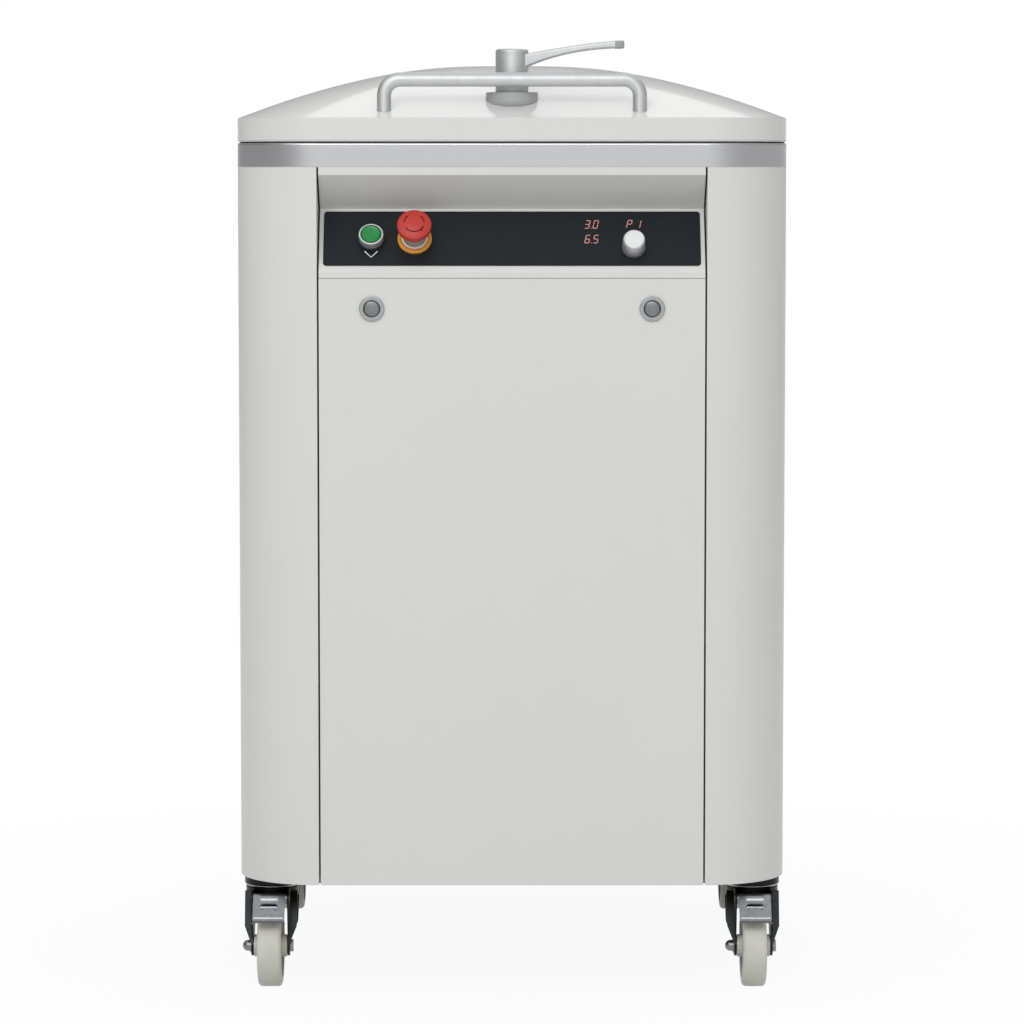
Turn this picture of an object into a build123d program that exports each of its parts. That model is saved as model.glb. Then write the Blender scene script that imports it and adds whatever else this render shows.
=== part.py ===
"""Hydraulic dough divider on castors.

Frame: origin on the floor under the middle of the cabinet, +X to the operator's right,
+Y towards the back, +Z up. Millimetres.
"""

import os
from math import atan2, cos, degrees, hypot, sin

from build123d import *

# Cabinet
side_margin = 70.0
end_margin = 140.0
corner_radius = 95.0
corner_flat = 2.0
worktop_height = 986.0
sheet = 2.0
seam_gap = 2.0
fascia_seam = 0.4
base_thickness = 6.0
panel_skirt = 2.0
panel_fit = 0.3
flange_depth = 58.0
rear_flange_depth = 20.0

# Worktop pan
band_height = 28.0
pan_sheet = 3.0
pan_edge_radius = 2.5

# Control fascia, a folded sheet seen from the side
lip_height = 9.0
recess_depth = 47.0
overhang_drop = 39.0
slope_drop = 72.0
fascia_flange = 7.0
return_depth = 18.0
return_clear = 1.0

# Control plate and what it carries
plate_side_gap = 5.0
plate_top_gap = 4.7
plate_foot_gap = 8.3
plate_thickness = 1.5
plate_corner = 4.0
control_fit = 0.3
start_inset = 55.0
start_rise = -1.0
bezel_radius = 14.5
bezel_height = 13.5
bezel_floor = 2.0
bezel_wall = 3.0
bezel_edge = 1.0
start_cap_top = 15.0
start_travel = 4.0
start_stem_radius = 5.0
barrel_radius = 11.0
barrel_length = 38.0
contact_width = 30.0
contact_length = 20.0
estop_inset = 105.0
estop_rise = 0.0
estop_base_radius = 19.7
estop_base_thickness = 4.0
estop_dish_width = 2.2
estop_dish_depth = 1.2
estop_collar_radius = 13.0
estop_collar_top = 13.5
estop_stem_radius = 7.0
estop_head_radius = 19.5
estop_head_bottom = 20.0
estop_head_top = 37.5
estop_rim_height = 6.5
estop_dome = 5.0
estop_travel = 5.0
estop_socket_depth = 7.0
estop_turn_fit = 0.05
knob_inset = 77.0
knob_rise = -12.0
knob_radius = 13.2
knob_top_radius = 12.2
knob_height = 21.5
knob_gap = 0.5
knob_shaft_radius = 3.0
knob_shaft_length = 24.0
knob_dimple_depth = 0.6
knob_edge = 1.0

# Panel locks
lock_inset = 61.0
lock_drop = 34.6
lock_ring_radius = 14.5
lock_ring_height = 2.5
lock_sleeve_radius = 12.0
lock_core_radius = 9.7
lock_core_recess = 2.0
lock_fit = 0.3
cam_width = 14.0
cam_reach = 22.0
cam_thickness = 3.0
cam_gap = 0.5

# Basin, press blocks and knives
cell_length = 100.0
cells_x = 5
cells_y = 4
basin_wall = 3.0
basin_depth = 118.0
basin_tail = 4.0
basin_fit = 0.1
block_thickness = 24.0
block_edge = 1.0
block_gap = 0.75
blade_thickness = 2.0
blade_bevel = 3.0
blade_land = 0.3
blade_below_block = 1.0
blade_wall_gap = 1.0
rim_margin = 1.5
carrier_thickness = 16.0
carrier_border = 22.0
travel_margin = 3.0
crosshead_thickness = 18.0
crosshead_border = 24.0
stem_radius = 9.0
stem_hole_gap = 4.0
guide_radius = 11.0
guide_offset = 24.0
guide_fit = 0.15
guide_boss_wall = 9.0
lightening_radius = 20.0

# Hydraulics
press_bore_radius = 32.0
press_wall = 10.0
press_cap = 16.0
press_rod_radius = 18.0
press_piston_thickness = 20.0
piston_fit = 0.05
piston_start_gap = 2.0
press_head_gap = 6.0
knife_bore_radius = 16.0
knife_wall = 6.0
knife_cap = 12.0
knife_rod_radius = 9.0
knife_piston_thickness = 12.0
knife_pair_cells = 3
port_radius = 11.0
port_length = 10.0
port_rise = 9.0
pipe_radius = 6.0
pipe_wall = 1.5
pipe_bend = 24.0

# Frame
post_size = 40.0
post_wall = 3.0
post_inset_x = 35.0
post_inset_y = 140.0
bridge_thickness = 20.0
bridge_width = 170.0
rail_height = 40.0

# Power pack and electrics
tank_width = 300.0
tank_depth = 190.0
tank_headroom = 83.5
tank_corner = 12.0
tank_lid = 6.0
tank_lid_lip = 6.0
tank_wall = 3.0
filler_radius = 16.0
filler_inset = 32.0
motor_radius = 62.0
motor_height = 190.0
motor_bridge_gap = 3.0
motor_x = -105.0
motor_flange_radius = 74.0
motor_flange_thickness = 12.0
motor_cowl_height = 34.0
motor_fin_count = 20
motor_fin_height = 5.0
motor_fin_width = 3.0
valve_x = 20.0
valve_width = 80.0
valve_depth = 90.0
valve_height = 60.0
solenoid_radius = 17.0
solenoid_length = 46.0
box_width = 120.0
box_depth = 180.0
box_headroom = 43.5
box_inset = 90.0
box_y = -60.0
box_edge = 4.0
box_wall = 2.0
box_entry_radius = 12.0

# Lid
lid_gap = 2.5
lid_rim_height = 26.0
lid_rise = 65.0
lid_crown_width = 116.0
lid_slope_power = 1.7
lid_crown_radius = 55.0
lid_wall = 6.0
lid_sections = 7
lid_level_power = 1.3
seal_inset = 2.5
seal_width = 3.0
seal_clearance = 0.3
press_plate_thickness = 18.0
press_plate_clearance = 1.0
press_plate_fit = 0.3

# Lid handle
handle_end_inset = 173.0
handle_inset = 23.0
handle_radius = 8.2
handle_bar_rise = 43.8
handle_bend = 18.5
handle_fit = 0.05

# Lid latch
latch_inset = 58.0
boss_radius = 30.0
boss_rise = 29.5
boss_band = 8.5
boss_foot_radius = 22.0
boss_curve_height = 9.0
boss_clear = 0.5
boss_fit = 0.05
spindle_radius = 7.0
spindle_fit = 0.05
hub_radius = 19.0
hub_height = 49.6
hub_gap = 0.4
hub_edge = 3.5
hub_cover = 10.0
arm_length = 128.0
arm_root_rise = 31.0
arm_tip_rise = 55.0
arm_bow = 5.0
arm_root_thickness = 20.0
arm_neck_thickness = 13.5
arm_waist_thickness = 10.0
arm_tip_thickness = 9.0
arm_neck_share = 0.19
arm_waist_share = 0.36
arm_width = 24.0
arm_tip_width = 18.0
arm_edge = 2.5
tee_length = 44.0
tee_width = 14.0
tee_thickness = 6.0
tee_rise = 5.0
tee_seat = 0.05
tee_lip_gap = 1.0
tee_post_gap = 1.5
strike_width = 28.0
strike_post_depth = 6.5
strike_lip_thickness = 5.0
strike_opening = 18.0
strike_pocket_gap = 3.0

# Lid hinge
hinge_inset = 150.0
hinge_offset = 8.0
hinge_rise = 1.0
knuckle_radius = 7.5
hinge_pin_radius = 4.0
hinge_pin_fit = 0.05
hinge_pin_head = 2.0
hinge_pin_head_radius = 5.5
lug_length = 40.0
lug_height = 12.0
knuckle_length = 20.0
knuckle_gap = 0.4
leaf_thickness = 5.0
leaf_margin = 2.0
leaf_neck = 6.0

# Castors
castor_headroom = 34.0
castor_inset_x = 37.0
castor_inset_y = 85.0
castor_trail = 38.0
wheel_radius = 47.5
wheel_width = 28.0
wheel_hub_width = 38.0
wheel_hub_radius = 13.0
wheel_web = 12.0
wheel_rim_depth = 10.0
wheel_edge = 5.0
axle_radius = 5.0
axle_fit = 0.05
axle_washer_radius = 8.5
axle_washer_thickness = 1.5
axle_head_radius = 6.5
axle_head_land = 2.5
axle_nut_radius = 7.5
axle_nut_height = 4.0
swivel_radius = 32.5
swivel_height = 15.0
swivel_edge = 3.0
swivel_gap = 0.4
stud_radius = 6.0
stud_nut_radius = 11.0
stud_nut_height = 10.0
king_pin_radius = 8.0
king_pin_fit = 0.1
king_pin_length = 8.0
fork_sheet = 2.5
fork_crown_thickness = 4.0
fork_shoulder = 22.0
fork_inner_width = 40.0
fork_crown_radius = 31.0
fork_crown_skirt = 7.0
fork_foot_radius = 12.0
fork_flange = 8.0
fork_flange_foot = 3.5
fork_flange_start = 23.5
brake_ear_radius = 8.0
brake_ear_forward = 12.0
brake_head_drop = 9.0
brake_pin_radius = 3.0
brake_fit = 0.2
brake_side_gap = 0.5
brake_sheet = 2.5
brake_tube_radius = 6.0
brake_pad_gap = 4.0
brake_pad_thickness = 6.0
brake_pad_width = 22.0
brake_pad_span = 20.0
pedal_shoulder = 16.0
pedal_rise = 4.8
pedal_reach = 38.0
pedal_drop = 17.0
pedal_neck_width = 22.0
pedal_width = 37.0
pedal_lip = 4.0
pedal_window_top = 16.0
pedal_window_foot = 22.0
pedal_window_height = 4.6
pedal_window_rise = 3.4
pedal_hole_pitch = 15.0
pedal_hole_radius = 1.2
pedal_hole_drop = 3.1

# Rear panel
louvre_length = 110.0
louvre_height = 7.0
louvre_pitch = 22.0
louvre_rows = 8
louvre_columns = 2
louvre_column_pitch = 160.0
louvre_z = 330.0
louvre_hood_depth = 6.0
louvre_hood_drop = 3.5
louvre_sheet = 1.5
gland_inset = 170.0
gland_z = 190.0
gland_radius = 13.0
gland_cap_radius = 12.0
gland_bore_radius = 5.0
gland_length = 16.0
gland_hex_length = 8.0
gland_thread_radius = 10.0
gland_thread_length = 14.0
gland_nut_radius = 14.0
gland_nut_thickness = 5.0

# Worked-out places
cabinet_width = cells_x * cell_length + 2 * side_margin
cabinet_depth = cells_y * cell_length + 2 * end_margin
castor_height = 2 * wheel_radius + castor_headroom
front = -cabinet_depth / 2
rear = cabinet_depth / 2
seam_x = cabinet_width / 2 - corner_radius - corner_flat
panel_edge_x = seam_x - seam_gap / 2
side_edge_x = seam_x + seam_gap / 2
panel_bottom = castor_height - panel_skirt
base_top = castor_height + base_thickness
band_bottom = worktop_height - band_height
pan_under = worktop_height - pan_sheet

lip_bottom = band_bottom - lip_height
slope_top = lip_bottom - overhang_drop
slope_bottom = slope_top - slope_drop
fascia_bottom = slope_bottom - fascia_flange
front_panel_top = fascia_bottom - fascia_seam
lock_z = front_panel_top - lock_drop
return_bottom = lock_z + lock_sleeve_radius + return_clear

lock_x = panel_edge_x - lock_inset

slope_lean = atan2(recess_depth, slope_drop)
plate_width = 2 * (panel_edge_x - plate_side_gap)
plate_height = hypot(recess_depth, slope_drop) - plate_top_gap - plate_foot_gap
plate_rise = (plate_foot_gap - plate_top_gap) / 2
start_x = start_inset - plate_width / 2
estop_x = estop_inset - plate_width / 2
knob_x = plate_width / 2 - knob_inset
control_normal = (0, -cos(slope_lean), sin(slope_lean))
control_plane = Plane(
    origin=(0, front + recess_depth / 2, (slope_top + slope_bottom) / 2),
    x_dir=(1, 0, 0),
    z_dir=control_normal,
)
plate_face = control_plane.offset(plate_thickness)

basin_x = cells_x * cell_length
basin_y = cells_y * cell_length
block_top = worktop_height - basin_depth
block_bottom = block_top - block_thickness
basin_bottom = block_bottom - basin_tail
block_size = cell_length - blade_thickness - 2 * block_gap
blade_top = block_top - blade_below_block
press_travel = basin_depth - rim_margin
knife_travel = press_travel
carrier_top = basin_bottom - knife_travel - travel_margin
carrier_bottom = carrier_top - carrier_thickness
crosshead_top = carrier_bottom - press_travel - travel_margin
crosshead_bottom = crosshead_top - crosshead_thickness
guide_x = basin_x / 2 + basin_wall + guide_offset

press_barrel_top = crosshead_bottom - press_head_gap
press_barrel_length = (
    2 * press_cap + press_piston_thickness + press_travel + 2 * piston_start_gap
)
bridge_top = press_barrel_top - press_barrel_length
bridge_bottom = bridge_top - bridge_thickness
press_piston_bottom = bridge_top + press_cap + piston_start_gap
knife_barrel_length = (
    2 * knife_cap + knife_piston_thickness + knife_travel + 2 * piston_start_gap
)
knife_barrel_top = bridge_top + knife_barrel_length
knife_piston_bottom = bridge_top + knife_cap + piston_start_gap
post_x = cabinet_width / 2 - post_inset_x
post_y = cabinet_depth / 2 - post_inset_y

tank_top = bridge_top - tank_headroom
tank_height = tank_top - base_top
tank_y = bridge_width / 2 + motor_bridge_gap + motor_fin_height + motor_radius
box_x = cabinet_width / 2 - box_inset
box_height = bridge_top - rail_height - box_headroom - base_top

lid_bottom = worktop_height + lid_gap
lid_rim_top = lid_bottom + lid_rim_height
lid_slope_run = (min(cabinet_width, cabinet_depth) - lid_crown_width) / 2
handle_x = cabinet_width / 2 - handle_end_inset
handle_y = front + handle_inset
handle_bar_z = lid_rim_top + handle_bar_rise
latch_y = front + latch_inset
boss_top = lid_rim_top + boss_rise
hub_bottom = boss_top + hub_gap
hub_top = hub_bottom + hub_height
spindle_top = hub_top - hub_cover
tee_bottom = worktop_height + tee_rise
tee_top = tee_bottom + tee_thickness
strike_lip_bottom = tee_top + tee_lip_gap
strike_inner = hypot(tee_length, tee_width) / 2 + tee_post_gap
strike_outer = strike_inner + strike_post_depth
strike_pocket_radius = hypot(strike_width / 2, strike_outer) + strike_pocket_gap
boss_bottom = lid_rim_top - lid_wall
latch_axis = Axis((0, latch_y, 0), (0, 0, 1))
hinge_x = cabinet_width / 2 - hinge_inset
hinge_y = rear + hinge_offset
hinge_z = worktop_height + hinge_rise

castor_x = cabinet_width / 2 - castor_inset_x
castor_y = cabinet_depth / 2 - castor_inset_y
swivel_bottom = castor_height - swivel_height
brake_ear_rise = swivel_bottom - brake_head_drop - wheel_radius
gland_x = cabinet_width / 2 - gland_inset
fork_crown_top = swivel_bottom - swivel_gap
fork_leg_x = fork_inner_width / 2
fork_sheet_x = fork_leg_x + fork_sheet

parts = {}


def keep(piece, label):
    """Label a finished piece and note it for export."""
    piece.part.label = label
    parts[label] = piece.part


def control_point(x, rise):
    """Point of the control plate's face at x, and rise up its slope from the middle."""
    return plate_face.from_local_coords(Vector(x, rise, 0))


def control_axis(x, rise):
    """Axis square to the control plate through a point of its face."""
    return Axis(control_point(x, rise), control_normal)


def control_section(x, rise):
    """Plane through that axis, with its own y running out of the plate."""
    across = Vector(1, 0, 0).cross(Vector(*control_normal))
    return Plane(origin=control_point(x, rise), x_dir=(1, 0, 0), z_dir=across)


def lid_height_at(inset):
    """Rise of the lid's skin above its rim, a given distance in from the edge."""
    share = min(inset / lid_slope_run, 1.0)
    return lid_rise * (1 - (1 - share) ** lid_slope_power)


def lid_corner_at(inset, start_radius):
    """Corner radius of the lid's plan at that distance in."""
    share = min(inset / lid_slope_run, 1.0)
    return start_radius + (lid_crown_radius - start_radius) * share


# Base plate
with BuildPart() as base_plate:
    with BuildSketch(Plane.XY.offset(castor_height)):
        RectangleRounded(
            cabinet_width - 2 * (sheet + panel_fit),
            cabinet_depth - 2 * (sheet + panel_fit),
            corner_radius - sheet - panel_fit,
        )
        with GridLocations(2 * castor_x, 2 * castor_y, 2, 2):
            Circle(stud_radius + control_fit, mode=Mode.SUBTRACT)
    extrude(amount=base_thickness)
keep(base_plate, "base_plate")

# Welded frame: four posts, two side rails and the cylinder bridge
with BuildPart() as main_frame:
    with BuildSketch(Plane.XY.offset(base_top)):
        with GridLocations(2 * post_x, 2 * post_y, 2, 2):
            Rectangle(post_size, post_size)
    extrude(amount=pan_under - base_top)
    with BuildSketch(Plane.XY.offset(bridge_top - rail_height)):
        with GridLocations(2 * post_x, 0, 2, 1):
            Rectangle(post_size, 2 * post_y)
    extrude(amount=rail_height)
    with BuildSketch(Plane.XY.offset(bridge_bottom)):
        Rectangle(2 * post_x, bridge_width)
    extrude(amount=bridge_thickness)
    with BuildSketch(Plane.XY.offset(base_top)):
        with GridLocations(2 * post_x, 2 * post_y, 2, 2):
            Rectangle(post_size - 2 * post_wall, post_size - 2 * post_wall)
    extrude(amount=pan_under - base_top, mode=Mode.SUBTRACT)
keep(main_frame, "main_frame")

# Side panels wrap both rounded corners and turn in at the seams
for side, label in ((-1, "left_side_panel"), (1, "right_side_panel")):
    with BuildPart() as side_panel:
        with BuildSketch(Plane.XY.offset(panel_bottom)):
            RectangleRounded(cabinet_width, cabinet_depth, corner_radius)
            RectangleRounded(
                cabinet_width - 2 * sheet,
                cabinet_depth - 2 * sheet,
                corner_radius - sheet,
                mode=Mode.SUBTRACT,
            )
            with Locations((-side * (cabinet_width / 2 - side_edge_x), 0)):
                Rectangle(cabinet_width, cabinet_depth, mode=Mode.SUBTRACT)
        extrude(amount=band_bottom - panel_bottom)
        with BuildSketch(Plane.XY.offset(base_top + panel_fit)):
            with Locations((side * (side_edge_x + sheet / 2), front + flange_depth / 2)):
                Rectangle(sheet, flange_depth)
            with Locations((side * (side_edge_x + sheet / 2), rear - rear_flange_depth / 2)):
                Rectangle(sheet, rear_flange_depth)
        extrude(amount=band_bottom - base_top - panel_fit)
    keep(side_panel, label)

# Front service panel with folded edges
with BuildPart() as front_panel:
    with BuildSketch(Plane.XY.offset(panel_bottom)):
        with Locations((0, front + sheet / 2)):
            Rectangle(2 * panel_edge_x, sheet)
    extrude(amount=front_panel_top - panel_bottom)
    with BuildSketch(Plane.XY.offset(base_top + panel_fit)):
        with Locations((0, front + return_depth / 2 - sheet / 2)):
            with GridLocations(2 * panel_edge_x - sheet, 0, 2, 1):
                Rectangle(sheet, return_depth - sheet)
    extrude(amount=front_panel_top - base_top - panel_fit)
    with BuildSketch(Plane.XZ.offset(-front)):
        with Locations((-lock_x, lock_z), (lock_x, lock_z)):
            Circle(lock_sleeve_radius + lock_fit)
    extrude(amount=-2 * sheet, mode=Mode.SUBTRACT)
keep(front_panel, "front_panel")

# Lock collars: a proud ring, and a sleeve through the panel
with BuildPart() as lock_collars:
    with BuildSketch(Plane.XZ.offset(-front)):
        with Locations((-lock_x, lock_z), (lock_x, lock_z)):
            Circle(lock_ring_radius)
    extrude(amount=lock_ring_height)
    fillet(lock_collars.faces().sort_by(Axis.Y)[:2].edges(), lock_ring_height / 3)
    with BuildSketch(Plane.XZ.offset(-front)):
        with Locations((-lock_x, lock_z), (lock_x, lock_z)):
            Circle(lock_sleeve_radius)
    extrude(amount=sheet - return_depth)
    with BuildSketch(Plane.XZ.offset(-front + lock_ring_height)):
        with Locations((-lock_x, lock_z), (lock_x, lock_z)):
            Circle(lock_core_radius + lock_fit)
    extrude(amount=-2 * return_depth, mode=Mode.SUBTRACT)
keep(lock_collars, "lock_collars")

# Quarter-turn lock cores, each with a cam that hooks behind the fascia's return
for side, label in ((-1, "lock_left"), (1, "lock_right")):
    cam_front = front + return_depth + sheet + cam_gap
    with BuildPart() as lock:
        with BuildSketch(Plane.XZ.offset(-front + lock_ring_height - lock_core_recess)):
            with Locations((side * lock_x, lock_z)):
                Circle(lock_core_radius)
        extrude(amount=-(cam_front - front + lock_ring_height - lock_core_recess))
        with BuildSketch(Plane.XZ.offset(-cam_front)):
            with Locations((side * lock_x, lock_z + (cam_reach - cam_width / 2) / 2)):
                Rectangle(cam_width, cam_reach + cam_width / 2)
        extrude(amount=-cam_thickness)
    keep(lock, label)

# Rear panel with louvres: each hood is a sloped skin, open below and through the panel
hood_height = louvre_height + louvre_hood_drop
hood_slant = hypot(hood_height, louvre_hood_depth)
hood_inner_top = louvre_height - louvre_sheet * hood_slant / louvre_hood_depth
hood_inner_depth = louvre_hood_depth - louvre_sheet * hood_slant / hood_height
with BuildPart() as rear_panel:
    with BuildSketch(Plane.XY.offset(panel_bottom)):
        with Locations((0, rear - sheet / 2)):
            Rectangle(2 * panel_edge_x, sheet)
    extrude(amount=band_bottom - panel_bottom)
    with BuildSketch(Plane.YZ.offset(-louvre_length / 2)) as hood:
        with Locations((rear, louvre_z)):
            with GridLocations(0, louvre_pitch, 1, louvre_rows):
                Polygon(
                    (0, louvre_height),
                    (0, -louvre_hood_drop),
                    (louvre_hood_depth, -louvre_hood_drop),
                    align=None,
                )
    with BuildSketch(Plane.YZ.offset(louvre_sheet - louvre_length / 2)) as throat:
        with Locations((rear, louvre_z)):
            with GridLocations(0, louvre_pitch, 1, louvre_rows):
                Polygon(
                    (-sheet, hood_inner_top),
                    (-sheet, -louvre_hood_drop),
                    (hood_inner_depth, -louvre_hood_drop),
                    (0, hood_inner_top),
                    align=None,
                )
    with GridLocations(louvre_column_pitch, 0, louvre_columns, 1):
        add(extrude(hood.sketch, amount=louvre_length, mode=Mode.PRIVATE))
        add(
            extrude(throat.sketch, amount=louvre_length - 2 * louvre_sheet, mode=Mode.PRIVATE),
            mode=Mode.SUBTRACT,
        )
    with BuildSketch(Plane.XZ.offset(-rear)):
        with Locations((gland_x, gland_z)):
            Circle(gland_thread_radius + control_fit)
    extrude(amount=sheet, mode=Mode.SUBTRACT)
keep(rear_panel, "rear_panel")

# Control fascia: lip, overhang, control slope and a return that the locks hook behind
with BuildPart() as control_fascia:
    with BuildSketch(Plane.YZ.offset(-panel_edge_x)):
        with BuildLine():
            Polyline(
                (front, band_bottom),
                (front, lip_bottom),
                (front + recess_depth, slope_top),
                (front, slope_bottom),
                (front, fascia_bottom),
                (front + return_depth, fascia_bottom),
                (front + return_depth, return_bottom),
            )
            offset(amount=sheet, side=Side.LEFT, kind=Kind.INTERSECTION)
        make_face()
    extrude(amount=2 * panel_edge_x)
    with BuildSketch(control_plane):
        with Locations((start_x, start_rise), (estop_x, estop_rise)):
            Circle(barrel_radius + control_fit)
        with Locations((knob_x, knob_rise)):
            Circle(knob_shaft_radius + control_fit)
    extrude(amount=-2 * sheet, mode=Mode.SUBTRACT)
keep(control_fascia, "control_fascia")

# Control plate
with BuildPart() as control_plate:
    with BuildSketch(control_plane):
        with Locations((0, plate_rise)):
            RectangleRounded(plate_width, plate_height, plate_corner)
        with Locations((start_x, start_rise), (estop_x, estop_rise)):
            Circle(barrel_radius + control_fit, mode=Mode.SUBTRACT)
        with Locations((knob_x, knob_rise)):
            Circle(knob_shaft_radius + control_fit, mode=Mode.SUBTRACT)
    extrude(amount=plate_thickness)
keep(control_plate, "control_plate")

# Start button bezel with its barrel and contact block, turned about the button's axis
cap_well = bezel_radius - bezel_wall
with BuildPart() as start_bezel:
    with BuildSketch(control_section(start_x, start_rise)):
        with BuildLine():
            Polyline(
                (start_stem_radius + control_fit, bezel_floor),
                (cap_well, bezel_floor),
                (cap_well, bezel_height),
                (bezel_radius - bezel_edge, bezel_height),
                (bezel_radius, bezel_height - bezel_edge),
                (bezel_radius, 0),
                (barrel_radius, 0),
                (barrel_radius, -barrel_length),
                (start_stem_radius + control_fit, -barrel_length),
                close=True,
            )
        make_face()
    revolve(axis=control_axis(start_x, start_rise))
    with BuildSketch(plate_face.offset(-barrel_length)):
        with Locations((start_x, start_rise)):
            Rectangle(contact_width, contact_width)
    extrude(amount=-contact_length)
keep(start_bezel, "start_bezel")

# Start button cap on its stem
with BuildPart() as start_button:
    with BuildSketch(control_section(start_x, start_rise)):
        with BuildLine():
            Polyline(
                (0, start_cap_top),
                (cap_well - control_fit - bezel_edge, start_cap_top),
                (cap_well - control_fit, start_cap_top - bezel_edge),
                (cap_well - control_fit, bezel_floor + start_travel + control_fit),
                (start_stem_radius, bezel_floor + start_travel + control_fit),
                (start_stem_radius, start_travel + control_fit - barrel_length),
                (0, start_travel + control_fit - barrel_length),
                close=True,
            )
        make_face()
    revolve(axis=control_axis(start_x, start_rise))
keep(start_button, "start_button")

# Emergency stop: base ring and collar, sliding stem, turning mushroom head
estop_bore = estop_stem_radius + control_fit
with BuildPart() as estop_base:
    with BuildSketch(control_section(estop_x, estop_rise)):
        with BuildLine():
            Polyline(
                (estop_bore, estop_collar_top),
                (estop_collar_radius, estop_collar_top),
                (estop_collar_radius, estop_base_thickness - estop_dish_depth),
                (estop_base_radius - 2 * estop_dish_width, estop_base_thickness - estop_dish_depth),
                (estop_base_radius - estop_dish_width, estop_base_thickness),
                (estop_base_radius - bezel_edge, estop_base_thickness),
                (estop_base_radius, estop_base_thickness - bezel_edge),
                (estop_base_radius, 0),
                (barrel_radius, 0),
                (barrel_radius, -barrel_length),
                (estop_bore, -barrel_length),
                close=True,
            )
        make_face()
    revolve(axis=control_axis(estop_x, estop_rise))
    with BuildSketch(plate_face.offset(-barrel_length)):
        with Locations((estop_x, estop_rise)):
            Rectangle(contact_width, contact_width)
    extrude(amount=-contact_length)
keep(estop_base, "estop_base")

estop_socket = estop_head_bottom + estop_socket_depth
with BuildPart() as estop_stem:
    with BuildSketch(plate_face.offset(estop_socket)):
        with Locations((estop_x, estop_rise)):
            Circle(estop_stem_radius)
    extrude(amount=estop_travel + control_fit - barrel_length - estop_socket)
keep(estop_stem, "estop_stem")

estop_rim_top = estop_head_top - estop_dome
with BuildPart() as estop_head:
    with BuildSketch(control_section(estop_x, estop_rise)):
        with BuildLine():
            Polyline(
                (0, estop_head_top),
                (0, estop_socket),
                (estop_stem_radius + estop_turn_fit, estop_socket),
                (estop_stem_radius + estop_turn_fit, estop_head_bottom),
                (estop_collar_radius, estop_head_bottom),
                (estop_head_radius, estop_rim_top - estop_rim_height),
                (estop_head_radius, estop_rim_top),
            )
            TangentArc((0, estop_head_top), (estop_head_radius, estop_rim_top), tangent=(1, 0))
        make_face()
    revolve(axis=control_axis(estop_x, estop_rise))
keep(estop_head, "estop_head")

# Programme knob on its shaft
with BuildPart() as program_knob:
    with BuildSketch(control_section(knob_x, knob_rise)):
        with BuildLine():
            Polyline(
                (0, knob_height - knob_dimple_depth),
                (knob_top_radius - 2 * knob_edge, knob_height - knob_dimple_depth),
                (knob_top_radius - 2 * knob_edge, knob_height),
                (knob_top_radius - knob_edge, knob_height),
                (knob_top_radius, knob_height - knob_edge),
                (knob_radius, knob_gap),
                (knob_shaft_radius, knob_gap),
                (knob_shaft_radius, -knob_shaft_length),
                (0, -knob_shaft_length),
                close=True,
            )
        make_face()
    revolve(axis=control_axis(knob_x, knob_rise))
keep(program_knob, "program_knob")

# Worktop pan with the basin's opening
with BuildPart() as top_plate:
    with BuildSketch(Plane.XY.offset(band_bottom)):
        RectangleRounded(cabinet_width, cabinet_depth, corner_radius)
    extrude(amount=band_height)
    fillet(top_plate.faces().sort_by(Axis.Z)[-1].edges(), pan_edge_radius)
    with BuildSketch(Plane.XY.offset(band_bottom)):
        RectangleRounded(
            cabinet_width - 2 * pan_sheet, cabinet_depth - 2 * pan_sheet, corner_radius - pan_sheet
        )
    extrude(amount=pan_under - band_bottom, mode=Mode.SUBTRACT)
    with BuildSketch(Plane.XY.offset(pan_under)):
        Rectangle(basin_x + 2 * (basin_wall + basin_fit), basin_y + 2 * (basin_wall + basin_fit))
    extrude(amount=pan_sheet, mode=Mode.SUBTRACT)
keep(top_plate, "top_plate")

# Strike on the worktop: two posts, each with a lip seated on it that the turned tee hooks under
strike_lip_reach = strike_outer - strike_opening / 2
with BuildPart() as latch_strike:
    with BuildSketch(Plane.XY.offset(worktop_height)):
        with Locations((0, latch_y)):
            with GridLocations(0, strike_inner + strike_outer, 1, 2):
                Rectangle(strike_width, strike_post_depth)
    extrude(amount=strike_lip_bottom - tee_seat - worktop_height)
    with BuildSketch(Plane.XY.offset(strike_lip_bottom)):
        with Locations((0, latch_y)):
            with GridLocations(0, strike_opening + strike_lip_reach, 1, 2):
                Rectangle(strike_width, strike_lip_reach)
    extrude(amount=strike_lip_thickness)
keep(latch_strike, "latch_strike")

# Basin
with BuildPart() as basin:
    with BuildSketch(Plane.XY.offset(basin_bottom)):
        Rectangle(basin_x + 2 * basin_wall, basin_y + 2 * basin_wall)
        Rectangle(basin_x, basin_y, mode=Mode.SUBTRACT)
    extrude(amount=worktop_height - basin_bottom)
keep(basin, "basin")

# Press blocks, one in each cell of the knife grid
with BuildPart() as press_blocks:
    with BuildSketch(Plane.XY.offset(block_bottom)):
        with GridLocations(cell_length, cell_length, cells_x, cells_y):
            Rectangle(block_size, block_size)
    extrude(amount=block_thickness)
    chamfer(press_blocks.faces().group_by(Axis.Z)[-1].edges(), block_edge)
keep(press_blocks, "press_blocks")

with BuildPart() as press_stems:
    with BuildSketch(Plane.XY.offset(crosshead_top)):
        with GridLocations(cell_length, cell_length, cells_x, cells_y):
            Circle(stem_radius)
    extrude(amount=block_bottom - crosshead_top)
keep(press_stems, "press_stems")

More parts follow.
